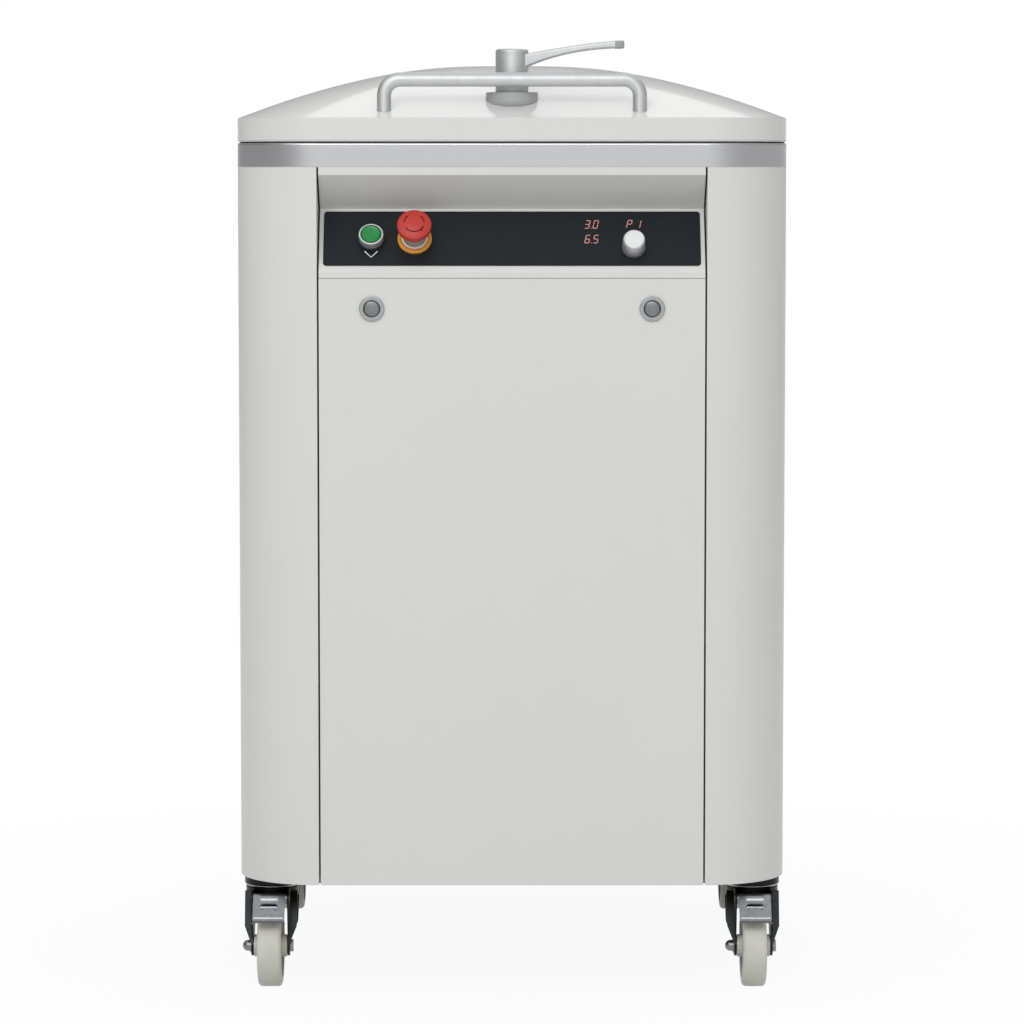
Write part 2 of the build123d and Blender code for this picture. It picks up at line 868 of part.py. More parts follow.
# Crosshead: a plate with lightening holes and two guide bosses
guide_boss_radius = guide_radius + guide_fit + guide_boss_wall
with BuildPart() as crosshead:
    with BuildSketch(Plane.XY.offset(crosshead_bottom)):
        Rectangle(
            (cells_x - 1) * cell_length + 2 * crosshead_border,
            (cells_y - 1) * cell_length + 2 * crosshead_border,
        )
        Rectangle(2 * guide_x, 2 * guide_boss_radius)
        with GridLocations(2 * guide_x, 0, 2, 1):
            Circle(guide_boss_radius)
            Circle(guide_radius + guide_fit, mode=Mode.SUBTRACT)
        with GridLocations(cell_length, cell_length, cells_x - 1, cells_y - 1):
            Circle(lightening_radius, mode=Mode.SUBTRACT)
    extrude(amount=crosshead_thickness)
keep(crosshead, "crosshead")

# Knife carrier: the stems pass through its holes
with BuildPart() as knife_carrier:
    with BuildSketch(Plane.XY.offset(carrier_bottom)):
        Rectangle(
            (cells_x - 1) * cell_length + 2 * (stem_radius + stem_hole_gap + carrier_border),
            (cells_y - 1) * cell_length + 2 * (stem_radius + stem_hole_gap + carrier_border),
        )
        Rectangle(2 * guide_x, 2 * guide_boss_radius)
        with GridLocations(2 * guide_x, 0, 2, 1):
            Circle(guide_boss_radius)
            Circle(guide_radius + guide_fit, mode=Mode.SUBTRACT)
        with GridLocations(cell_length, cell_length, cells_x, cells_y):
            Circle(stem_radius + stem_hole_gap, mode=Mode.SUBTRACT)
    extrude(amount=carrier_thickness)
keep(knife_carrier, "knife_carrier")

# Knife grid: blades with a bevelled edge, crossing between the blocks
blade_height = blade_top - carrier_top


def blade_profile():
    """Section of one blade, standing on the carrier."""
    Polygon(
        (-blade_thickness / 2, 0),
        (blade_thickness / 2, 0),
        (blade_thickness / 2, blade_height - blade_bevel),
        (blade_land / 2, blade_height),
        (-blade_land / 2, blade_height),
        (-blade_thickness / 2, blade_height - blade_bevel),
        align=None,
    )


with BuildPart() as knife_grid:
    with BuildSketch(Plane.XZ.offset(-basin_y / 2 + blade_wall_gap)):
        with Locations((0, carrier_top)):
            with GridLocations(cell_length, 0, cells_x - 1, 1):
                blade_profile()
    extrude(amount=basin_y - 2 * blade_wall_gap)
    with BuildSketch(Plane.YZ.offset(-basin_x / 2 + blade_wall_gap)):
        with Locations((0, carrier_top)):
            with GridLocations(cell_length, 0, cells_y - 1, 1):
                blade_profile()
    extrude(amount=basin_x - 2 * blade_wall_gap)
keep(knife_grid, "knife_grid")

# Guide columns from the bridge's rails to the worktop pan
with BuildPart() as guide_columns:
    with BuildSketch(Plane.XY.offset(bridge_top)):
        with GridLocations(2 * guide_x, 0, 2, 1):
            Circle(guide_radius)
    extrude(amount=pan_under - bridge_top)
keep(guide_columns, "guide_columns")

# Press cylinder with two pipe ports, bored for piston and rod
press_barrel_radius = press_bore_radius + press_wall
press_ports = (bridge_top + port_rise + port_radius, press_barrel_top - port_rise - port_radius)
with BuildPart() as press_cylinder:
    with BuildSketch(Plane.XY.offset(bridge_top)):
        Circle(press_barrel_radius)
    extrude(amount=press_barrel_length)
    with BuildSketch(Plane.XZ.offset(-press_barrel_radius - port_length)):
        with Locations((0, press_ports[0]), (0, press_ports[1])):
            Circle(port_radius)
    extrude(amount=port_length + press_wall)
    with BuildSketch(Plane.XY.offset(bridge_top + press_cap)):
        Circle(press_bore_radius)
    extrude(amount=press_barrel_length - 2 * press_cap, mode=Mode.SUBTRACT)
    with BuildSketch(Plane.XY.offset(press_barrel_top - press_cap)):
        Circle(press_rod_radius + piston_fit)
    extrude(amount=press_cap, mode=Mode.SUBTRACT)
keep(press_cylinder, "press_cylinder")

with BuildPart() as piston_rod:
    with BuildSketch(Plane.XY.offset(press_piston_bottom)):
        Circle(press_bore_radius - piston_fit)
    extrude(amount=press_piston_thickness)
    with BuildSketch(Plane.XY.offset(press_piston_bottom)):
        Circle(press_rod_radius)
    extrude(amount=crosshead_bottom - press_piston_bottom)
keep(piston_rod, "piston_rod")

# Knife cylinders either side, joined by a cross pipe at the front
knife_cylinder_x = knife_pair_cells / 2 * cell_length
knife_barrel_radius = knife_bore_radius + knife_wall
knife_port_z = bridge_top + port_rise + port_radius
knife_port_y = knife_barrel_radius + port_length
with BuildPart() as knife_cylinders:
    with BuildSketch(Plane.XY.offset(bridge_top)):
        with GridLocations(2 * knife_cylinder_x, 0, 2, 1):
            Circle(knife_barrel_radius)
    extrude(amount=knife_barrel_length)
    with BuildSketch(Plane.XZ.offset(-knife_port_y)):
        with Locations((-knife_cylinder_x, knife_port_z), (knife_cylinder_x, knife_port_z)):
            Circle(port_radius)
    extrude(amount=2 * knife_port_y)
    with BuildSketch(Plane.XY.offset(bridge_top + knife_cap)):
        with GridLocations(2 * knife_cylinder_x, 0, 2, 1):
            Circle(knife_bore_radius)
    extrude(amount=knife_barrel_length - 2 * knife_cap, mode=Mode.SUBTRACT)
    with BuildSketch(Plane.XY.offset(knife_barrel_top - knife_cap)):
        with GridLocations(2 * knife_cylinder_x, 0, 2, 1):
            Circle(knife_rod_radius + piston_fit)
    extrude(amount=knife_cap, mode=Mode.SUBTRACT)
keep(knife_cylinders, "knife_cylinders")

with BuildPart() as knife_rods:
    with BuildSketch(Plane.XY.offset(knife_piston_bottom)):
        with GridLocations(2 * knife_cylinder_x, 0, 2, 1):
            Circle(knife_bore_radius - piston_fit)
    extrude(amount=knife_piston_thickness)
    with BuildSketch(Plane.XY.offset(knife_piston_bottom)):
        with GridLocations(2 * knife_cylinder_x, 0, 2, 1):
            Circle(knife_rod_radius)
    extrude(amount=carrier_bottom - knife_piston_bottom)
keep(knife_rods, "knife_rods")

# Hollow oil tank with a lipped lid and a filler hole
with BuildPart() as oil_tank:
    with BuildSketch(Plane.XY.offset(base_top)):
        with Locations((0, tank_y)):
            RectangleRounded(tank_width, tank_depth, tank_corner)
    extrude(amount=tank_height)
    with BuildSketch(Plane.XY.offset(tank_top - tank_lid)):
        with Locations((0, tank_y)):
            RectangleRounded(
                tank_width + 2 * tank_lid_lip, tank_depth + 2 * tank_lid_lip, tank_corner + tank_lid_lip
            )
    extrude(amount=tank_lid)
    with BuildSketch(Plane.XY.offset(base_top + tank_wall)):
        with Locations((0, tank_y)):
            RectangleRounded(
                tank_width - 2 * tank_wall, tank_depth - 2 * tank_wall, tank_corner - tank_wall
            )
    extrude(amount=tank_height - tank_lid - tank_wall, mode=Mode.SUBTRACT)
    with BuildSketch(Plane.XY.offset(tank_top - tank_lid)):
        with Locations((tank_width / 2 - filler_inset, tank_y)):
            Circle(filler_radius)
    extrude(amount=tank_lid, mode=Mode.SUBTRACT)
keep(oil_tank, "oil_tank")

# Pump motor: flange, finned body and fan cowl
motor_body_top = tank_top + motor_height - motor_cowl_height
with BuildPart() as pump_motor:
    with BuildSketch(Plane.XY.offset(tank_top)):
        with Locations((motor_x, tank_y)):
            Circle(motor_flange_radius)
    extrude(amount=motor_flange_thickness)
    with BuildSketch(Plane.XY.offset(tank_top)):
        with Locations((motor_x, tank_y)):
            Circle(motor_radius)
            with PolarLocations(motor_radius, motor_fin_count):
                Rectangle(2 * motor_fin_height, motor_fin_width)
    extrude(amount=motor_body_top - tank_top)
    with BuildSketch(Plane.XY.offset(motor_body_top)):
        with Locations((motor_x, tank_y)):
            Circle(motor_radius + motor_fin_height)
    extrude(amount=motor_cowl_height)
keep(pump_motor, "pump_motor")

# Valve block with a solenoid on its back
valve_top = tank_top + valve_height
with BuildPart() as valve_block:
    with BuildSketch(Plane.XY.offset(tank_top)):
        with Locations((valve_x, tank_y)):
            Rectangle(valve_width, valve_depth)
    extrude(amount=valve_height)
    with BuildSketch(Plane.XZ.offset(-tank_y - valve_depth / 2)):
        with Locations((valve_x, tank_top + valve_height / 2)):
            Circle(solenoid_radius)
    extrude(amount=-solenoid_length)
keep(valve_block, "valve_block")

# Steel pipes from the valve block to the cylinders
pipe_routes = (
    (
        (0, tank_y - valve_depth / 4, valve_top),
        (0, tank_y - valve_depth / 4, press_ports[0]),
        (0, press_barrel_radius + port_length, press_ports[0]),
    ),
    (
        (0, tank_y + valve_depth / 4, valve_top),
        (0, tank_y + valve_depth / 4, press_ports[1]),
        (0, press_barrel_radius + port_length, press_ports[1]),
    ),
    (
        (valve_x + valve_width / 2, tank_y, tank_top + valve_height / 2),
        (knife_cylinder_x, tank_y, tank_top + valve_height / 2),
        (knife_cylinder_x, tank_y, knife_port_z),
        (knife_cylinder_x, knife_port_y, knife_port_z),
    ),
    (
        (knife_cylinder_x, -knife_port_y, knife_port_z),
        (knife_cylinder_x, -knife_port_y - 2 * pipe_bend, knife_port_z),
        (-knife_cylinder_x, -knife_port_y - 2 * pipe_bend, knife_port_z),
        (-knife_cylinder_x, -knife_port_y, knife_port_z),
    ),
)
with BuildPart() as hydraulic_pipes:
    for route in pipe_routes:
        with BuildLine() as pipe_path:
            FilletPolyline(*route, radius=pipe_bend)
        with BuildSketch(Plane(origin=pipe_path.line @ 0, z_dir=pipe_path.line % 0)):
            Circle(pipe_radius)
            Circle(pipe_radius - pipe_wall, mode=Mode.SUBTRACT)
        sweep(path=pipe_path.line)
keep(hydraulic_pipes, "hydraulic_pipes")

# Hollow electrical box on the base plate, with a cable entry in its top
with BuildPart() as electrical_box:
    with BuildSketch(Plane.XY.offset(base_top)):
        with Locations((box_x, box_y)):
            Rectangle(box_width, box_depth)
    extrude(amount=box_height)
    fillet(electrical_box.edges().filter_by(Axis.Z), box_edge)
    with BuildSketch(Plane.XY.offset(base_top + box_wall)):
        with Locations((box_x, box_y)):
            RectangleRounded(box_width - 2 * box_wall, box_depth - 2 * box_wall, box_edge - box_wall)
    extrude(amount=box_height - 2 * box_wall, mode=Mode.SUBTRACT)
    with BuildSketch(Plane.XY.offset(base_top + box_height - box_wall)):
        with Locations((box_x, box_y)):
            Circle(box_entry_radius)
    extrude(amount=box_wall, mode=Mode.SUBTRACT)
keep(electrical_box, "electrical_box")

# Cable gland on the rear panel
with BuildPart() as cable_gland:
    with BuildSketch(Plane.XZ.offset(-rear)):
        with Locations((gland_x, gland_z)):
            RegularPolygon(gland_radius, 6)
    extrude(amount=-gland_hex_length)
    with BuildSketch(Plane.XZ.offset(-rear - gland_hex_length)):
        with Locations((gland_x, gland_z)):
            Circle(gland_cap_radius)
    extrude(amount=gland_hex_length - gland_length)
    with BuildSketch(Plane.XZ.offset(-rear)):
        with Locations((gland_x, gland_z)):
            Circle(gland_thread_radius)
    extrude(amount=gland_thread_length)
    with BuildSketch(Plane.XZ.offset(-rear + sheet)):
        with Locations((gland_x, gland_z)):
            RegularPolygon(gland_nut_radius, 6)
    extrude(amount=gland_nut_thickness)
    with BuildSketch(Plane.XZ.offset(-rear - gland_length)):
        with Locations((gland_x, gland_z)):
            Circle(gland_bore_radius)
    extrude(amount=gland_length + gland_thread_length, mode=Mode.SUBTRACT)
keep(cable_gland, "cable_gland")

# Lid: a cast dome with a vertical rim and hinge lugs, bored for the latch bush and the handle's legs
def boss_section(growth):
    """Half section of the flanged latch bush, its sides grown by a fit."""
    with BuildSketch(Plane.XZ.offset(-latch_y)) as section:
        with BuildLine():
            Polyline(
                (boss_foot_radius + growth, boss_top - boss_band - boss_curve_height),
                (boss_foot_radius + growth, boss_bottom),
                (0, boss_bottom),
                (0, boss_top),
                (boss_radius + growth, boss_top),
                (boss_radius + growth, boss_top - boss_band),
            )
            TangentArc(
                (boss_radius + growth, boss_top - boss_band),
                (boss_foot_radius + growth, boss_top - boss_band - boss_curve_height),
                tangent=(0, -1),
            )
        make_face()
    return section.sketch


def lid_levels():
    """Distances in from the rim at which the dome's sections are drawn, closer near the rim."""
    for step in range(lid_sections + 1):
        yield lid_slope_run * (step / lid_sections) ** lid_level_power


handle_foot_z = lid_rim_top + lid_height_at(handle_inset - handle_radius) - lid_wall
with BuildPart() as lid_shell:
    with BuildSketch(Plane.XY.offset(lid_bottom)):
        RectangleRounded(cabinet_width, cabinet_depth, corner_radius)
    extrude(amount=lid_rim_height)
    for inset in lid_levels():
        with BuildSketch(Plane.XY.offset(lid_rim_top + lid_height_at(inset))):
            RectangleRounded(
                cabinet_width - 2 * inset, cabinet_depth - 2 * inset, lid_corner_at(inset, corner_radius)
            )
    loft()
    with BuildSketch(Plane.XY.offset(lid_bottom)):
        RectangleRounded(
            cabinet_width - 2 * lid_wall, cabinet_depth - 2 * lid_wall, corner_radius - lid_wall
        )
    extrude(amount=lid_rim_height - lid_wall, mode=Mode.SUBTRACT)
    for inset in lid_levels():
        with BuildSketch(Plane.XY.offset(lid_rim_top - lid_wall + lid_height_at(inset))):
            RectangleRounded(
                cabinet_width - 2 * (lid_wall + inset * (1 - lid_wall / lid_slope_run)),
                cabinet_depth - 2 * (lid_wall + inset * (1 - lid_wall / lid_slope_run)),
                lid_corner_at(inset, corner_radius - lid_wall),
            )
    loft(mode=Mode.SUBTRACT)
    revolve(boss_section(boss_fit), axis=latch_axis, mode=Mode.SUBTRACT)
    with BuildSketch(Plane.XY.offset(boss_top)):
        with Locations((0, latch_y)):
            Circle(boss_radius + boss_clear)
    extrude(amount=lid_rise, mode=Mode.SUBTRACT)
    with BuildSketch(Plane.XY.offset(handle_foot_z)):
        with Locations((-handle_x, handle_y), (handle_x, handle_y)):
            Circle(handle_radius + handle_fit)
    extrude(amount=lid_rise, mode=Mode.SUBTRACT)
    for side in (-1, 1):
        with BuildSketch(Plane.YZ.offset(side * hinge_x - lug_length / 2)):
            with Locations((hinge_y, hinge_z)):
                Circle(knuckle_radius)
            with Locations((rear, lid_bottom)):
                Rectangle(hinge_offset, lug_height, align=(Align.MIN, Align.MIN))
        extrude(amount=lug_length)
    with BuildSketch(Plane.YZ.offset(-hinge_x - lug_length / 2)):
        with Locations((hinge_y, hinge_z)):
            Circle(hinge_pin_radius + hinge_pin_fit)
    extrude(amount=2 * hinge_x + lug_length, mode=Mode.SUBTRACT)
keep(lid_shell, "lid_shell")

# Lid seal, press plate, handle and latch bush
with BuildPart() as lid_seal:
    with BuildSketch(Plane.XY.offset(worktop_height + seal_clearance)):
        RectangleRounded(
            cabinet_width - 2 * seal_inset, cabinet_depth - 2 * seal_inset, corner_radius - seal_inset
        )
        RectangleRounded(
            cabinet_width - 2 * (seal_inset + seal_width),
            cabinet_depth - 2 * (seal_inset + seal_width),
            corner_radius - seal_inset - seal_width,
            mode=Mode.SUBTRACT,
        )
    extrude(amount=lid_gap - seal_clearance)
keep(lid_seal, "lid_seal")

with BuildPart() as lid_press_plate:
    with BuildSketch(Plane.XY.offset(worktop_height + press_plate_clearance)):
        RectangleRounded(
            cabinet_width - 2 * (lid_wall + press_plate_fit),
            cabinet_depth - 2 * (lid_wall + press_plate_fit),
            corner_radius - lid_wall - press_plate_fit,
        )
        with Locations((0, latch_y)):
            Circle(strike_pocket_radius, mode=Mode.SUBTRACT)
    extrude(amount=press_plate_thickness)
keep(lid_press_plate, "lid_press_plate")

with BuildPart() as lid_handle:
    with BuildLine() as handle_path:
        FilletPolyline(
            (-handle_x, handle_y, handle_foot_z),
            (-handle_x, handle_y, handle_bar_z),
            (handle_x, handle_y, handle_bar_z),
            (handle_x, handle_y, handle_foot_z),
            radius=handle_bend,
        )
    with BuildSketch(Plane.XY.offset(handle_foot_z)):
        with Locations((-handle_x, handle_y)):
            Circle(handle_radius)
    sweep(path=handle_path.line)
keep(lid_handle, "lid_handle")

with BuildPart() as latch_bush:
    revolve(boss_section(0), axis=latch_axis)
    with BuildSketch(Plane.XY.offset(boss_bottom)):
        with Locations((0, latch_y)):
            Circle(spindle_radius + spindle_fit)
    extrude(amount=boss_top - boss_bottom, mode=Mode.SUBTRACT)
keep(latch_bush, "latch_bush")

# Latch: a spindle seated on a tee, and a cast lever on top
with BuildPart() as latch_spindle:
    with BuildSketch(Plane.XY.offset(tee_bottom)):
        with Locations((0, latch_y)):
            Rectangle(tee_length, tee_width)
    extrude(amount=tee_thickness)
    with BuildSketch(Plane.XY.offset(tee_top + tee_seat)):
        with Locations((0, latch_y)):
            Circle(spindle_radius)
    extrude(amount=spindle_top - tee_top - tee_seat)
keep(latch_spindle, "latch_spindle")

with BuildPart() as lever:
    with BuildLine(Plane.XZ.offset(-latch_y)) as arm_path:
        SagittaArc((0, hub_bottom + arm_root_rise), (arm_length, hub_bottom + arm_tip_rise), arm_bow)
    for share, thickness in (
        (0, arm_root_thickness),
        (arm_neck_share, arm_neck_thickness),
        (arm_waist_share, arm_waist_thickness),
        (1, arm_tip_thickness),
    ):
        section = Plane(origin=arm_path.line @ share, x_dir=(0, 1, 0), z_dir=arm_path.line % share)
        with BuildSketch(section):
            RectangleRounded(
                arm_width + (arm_tip_width - arm_width) * share, thickness, arm_edge
            )
    loft()
    with BuildSketch(Plane.XY.offset(hub_bottom)):
        with Locations((0, latch_y)):
            Circle(hub_radius)
    extrude(amount=hub_height)
    fillet(lever.edges().filter_by_position(Axis.Z, hub_top - hub_gap, hub_top + hub_gap), hub_edge)
    with BuildSketch(Plane.XY.offset(hub_bottom)):
        with Locations((0, latch_y)):
            Circle(spindle_radius)
    extrude(amount=spindle_top - hub_bottom, mode=Mode.SUBTRACT)
keep(lever, "lever")

# Lid hinges: brackets on the pan's back, with pins through the lid's lugs
bracket_span = lug_length + 2 * (knuckle_gap + knuckle_length)
leaf_top = hinge_z - knuckle_radius - knuckle_gap
leaf_bottom = band_bottom + leaf_margin
with BuildPart() as hinge_brackets:
    for side in (-1, 1):
        with BuildSketch(Plane.YZ.offset(side * hinge_x - bracket_span / 2)):
            with Locations((rear, leaf_bottom)):
                Rectangle(leaf_thickness, leaf_top - leaf_bottom, align=(Align.MIN, Align.MIN))
        extrude(amount=bracket_span)
        for end in (-1, 1):
            knuckle_x = side * hinge_x + end * (lug_length / 2 + knuckle_gap + knuckle_length / 2)
            with BuildSketch(Plane.YZ.offset(knuckle_x - knuckle_length / 2)):
                with Locations((hinge_y, hinge_z)):
                    Circle(knuckle_radius)
                with Locations((rear, leaf_top - leaf_neck)):
                    Rectangle(
                        hinge_offset, worktop_height - leaf_top + leaf_neck, align=(Align.MIN, Align.MIN)
                    )
            extrude(amount=knuckle_length)
    with BuildSketch(Plane.YZ.offset(-hinge_x - bracket_span / 2)):
        with Locations((hinge_y, hinge_z)):
            Circle(hinge_pin_radius)
    extrude(amount=2 * hinge_x + bracket_span, mode=Mode.SUBTRACT)
keep(hinge_brackets, "hinge_brackets")

with BuildPart() as hinge_pins:
    for side in (-1, 1):
        pin_start = side * hinge_x - bracket_span / 2
        with BuildSketch(Plane.YZ.offset(pin_start)):
            with Locations((hinge_y, hinge_z)):
                Circle(hinge_pin_radius)
        extrude(amount=bracket_span)
        with BuildSketch(Plane.YZ.offset(pin_start - hinge_pin_head)):
            with Locations((hinge_y, hinge_z)):
                Circle(hinge_pin_head_radius)
        extrude(amount=hinge_pin_head)
        with BuildSketch(Plane.YZ.offset(pin_start + bracket_span)):
            with Locations((hinge_y, hinge_z)):
                Circle(hinge_pin_head_radius)
        extrude(amount=hinge_pin_head)
keep(hinge_pins, "hinge_pins")

# Castor swivel heads, each with its stud and nut through the base plate
with BuildPart() as castor_heads:
    with BuildSketch(Plane.XY.offset(swivel_bottom)):
        with GridLocations(2 * castor_x, 2 * castor_y, 2, 2):
            Circle(swivel_radius)
    extrude(amount=swivel_height)
    chamfer(castor_heads.faces().group_by(Axis.Z)[0].edges(), swivel_edge)
    with BuildSketch(Plane.XY.offset(castor_height)):
        with GridLocations(2 * castor_x, 2 * castor_y, 2, 2):
            Circle(stud_radius)
    extrude(amount=base_thickness + stud_nut_height)
    with BuildSketch(Plane.XY.offset(base_top)):
        with GridLocations(2 * castor_x, 2 * castor_y, 2, 2):
            RegularPolygon(stud_nut_radius, 6)
    extrude(amount=stud_nut_height)
    with BuildSketch(Plane.XY.offset(swivel_bottom)):
        with GridLocations(2 * castor_x, 2 * castor_y, 2, 2):
            Circle(king_pin_radius + king_pin_fit)
    extrude(amount=king_pin_length, mode=Mode.SUBTRACT)
keep(castor_heads, "castor_heads")


def castor_fork(x, y, braked):
    """Pressed fork under the swivel head: cupped crown, king pin and two legs with flanged edges."""
    axle_y = y - castor_trail
    ear_y = axle_y - brake_ear_forward
    ear_z = wheel_radius + brake_ear_rise
    crown_bottom = fork_crown_top - fork_crown_thickness
    flange_x = fork_sheet_x + fork_flange
    foot_bottom = wheel_radius - fork_foot_radius
    leg_reach = 2 * fork_crown_radius + castor_trail + fork_foot_radius
    with BuildPart() as fork:
        with BuildSketch(Plane.XZ.offset(-axle_y + fork_foot_radius)):
            with Locations((x, 0)):
                Polygon(
                    (-fork_sheet_x, foot_bottom),
                    (fork_sheet_x, foot_bottom),
                    (fork_sheet_x, wheel_radius + fork_flange_foot),
                    (flange_x, wheel_radius + fork_flange_start),
                    (fork_crown_radius, crown_bottom),
                    (-fork_crown_radius, crown_bottom),
                    (-flange_x, wheel_radius + fork_flange_start),
                    (-fork_sheet_x, wheel_radius + fork_flange_foot),
                    align=None,
                )
        extrude(amount=-leg_reach)
        with BuildSketch(Plane.YZ.offset(x - fork_crown_radius)):
            with Locations((axle_y, wheel_radius)):
                Circle(fork_foot_radius)
            with Locations((y, crown_bottom)):
                Rectangle(2 * fork_shoulder, fork_crown_thickness, align=(Align.CENTER, Align.MAX))
            make_hull()
        extrude(amount=2 * fork_crown_radius, mode=Mode.INTERSECT)
        with BuildSketch(Plane.XZ.offset(-axle_y + fork_foot_radius)):
            with Locations((x, 0)):
                Rectangle(fork_inner_width, 2 * crown_bottom)
        extrude(amount=-leg_reach, mode=Mode.SUBTRACT)
        for pocket_x in (x - fork_crown_radius, x + fork_sheet_x):
            with BuildSketch(Plane.YZ.offset(pocket_x)):
                with Locations((axle_y, wheel_radius)):
                    Circle(fork_foot_radius - fork_sheet)
                with Locations((y, crown_bottom)):
                    Rectangle(
                        2 * (fork_shoulder - fork_sheet), fork_crown_thickness, align=(Align.CENTER, Align.MAX)
                    )
                make_hull()
            extrude(amount=fork_crown_radius - fork_sheet_x, mode=Mode.SUBTRACT)
        with BuildSketch(Plane.XY.offset(crown_bottom)):
            with Locations((x, y)):
                Circle(fork_crown_radius)
        extrude(amount=fork_crown_thickness)
        with BuildSketch(Plane.XY.offset(crown_bottom)):
            with Locations((x, y)):
                Circle(fork_crown_radius)
                Circle(fork_crown_radius - fork_sheet, mode=Mode.SUBTRACT)
        extrude(amount=-fork_crown_skirt)
        with BuildSketch(Plane.XY.offset(fork_crown_top)):
            with Locations((x, y)):
                Circle(king_pin_radius)
        extrude(amount=king_pin_length)
        if braked:
            for leg_x in (x - fork_sheet_x, x + fork_leg_x):
                with BuildSketch(Plane.YZ.offset(leg_x)):
                    with Locations((ear_y, ear_z)):
                        Circle(brake_ear_radius)
                    with Locations((axle_y, wheel_radius)):
                        Circle(fork_foot_radius / 2)
                    with Locations((y, fork_crown_top)):
                        Rectangle(fork_shoulder, fork_crown_thickness, align=(Align.CENTER, Align.MAX))
                    make_hull()
                extrude(amount=fork_sheet)
        with BuildSketch(Plane.YZ.offset(x - fork_crown_radius)):
            with Locations((axle_y, wheel_radius)):
                Circle(axle_radius)
            if braked:
                with Locations((ear_y, ear_z)):
                    Circle(brake_pin_radius + brake_fit)
        extrude(amount=2 * fork_crown_radius, mode=Mode.SUBTRACT)
    return fork


def castor_axle(x, y):
    """Axle bolt with a domed head and washer on the left and its nut on the right."""
    axle_y = y - castor_trail
    head_plane = Plane(origin=(x - fork_sheet_x, axle_y, wheel_radius), x_dir=(-1, 0, 0), z_dir=(0, 1, 0))
    dome_start = axle_washer_thickness + axle_head_land
    with BuildPart() as axle:
        with BuildSketch(Plane.YZ.offset(x - fork_sheet_x)):
            with Locations((axle_y, wheel_radius)):
                Circle(axle_radius)
        extrude(amount=2 * fork_sheet_x + axle_nut_height)
        with BuildSketch(head_plane):
            with BuildLine():
                Polyline(
                    (dome_start + axle_head_radius, 0),
                    (0, 0),
                    (0, axle_washer_radius),
                    (axle_washer_thickness, axle_washer_radius),
                    (axle_washer_thickness, axle_head_radius),
                    (dome_start, axle_head_radius),
                )
                CenterArc((dome_start, 0), axle_head_radius, 0, 90)
            make_face()
        revolve(axis=Axis(head_plane.origin, (1, 0, 0)))
        with BuildSketch(Plane.YZ.offset(x + fork_sheet_x)):
            with Locations((axle_y, wheel_radius)):
                RegularPolygon(axle_nut_radius, 6)
        extrude(amount=axle_nut_height)
    return axle


def castor_wheel(x, y):
    """Moulded wheel: hub, thin web and rounded tread, turned about its axle."""
    middle = Plane(origin=(x, y - castor_trail, wheel_radius), x_dir=(1, 0, 0), z_dir=(0, -1, 0))
    bore = axle_radius + axle_fit
    rim_inner = wheel_radius - wheel_rim_depth
    with BuildPart() as wheel:
        with BuildSketch(middle):
            with Locations((0, bore)):
                Rectangle(wheel_hub_width, wheel_hub_radius - bore, align=(Align.CENTER, Align.MIN))
                Rectangle(wheel_web, rim_inner - bore, align=(Align.CENTER, Align.MIN))
            with Locations((0, rim_inner)):
                Rectangle(wheel_width, wheel_rim_depth, align=(Align.CENTER, Align.MIN))
        revolve(axis=Axis(middle.origin, (1, 0, 0)))
        fillet(wheel.edges().filter_by(GeomType.CIRCLE).sort_by(SortBy.RADIUS)[-2:], wheel_edge)
    return wheel


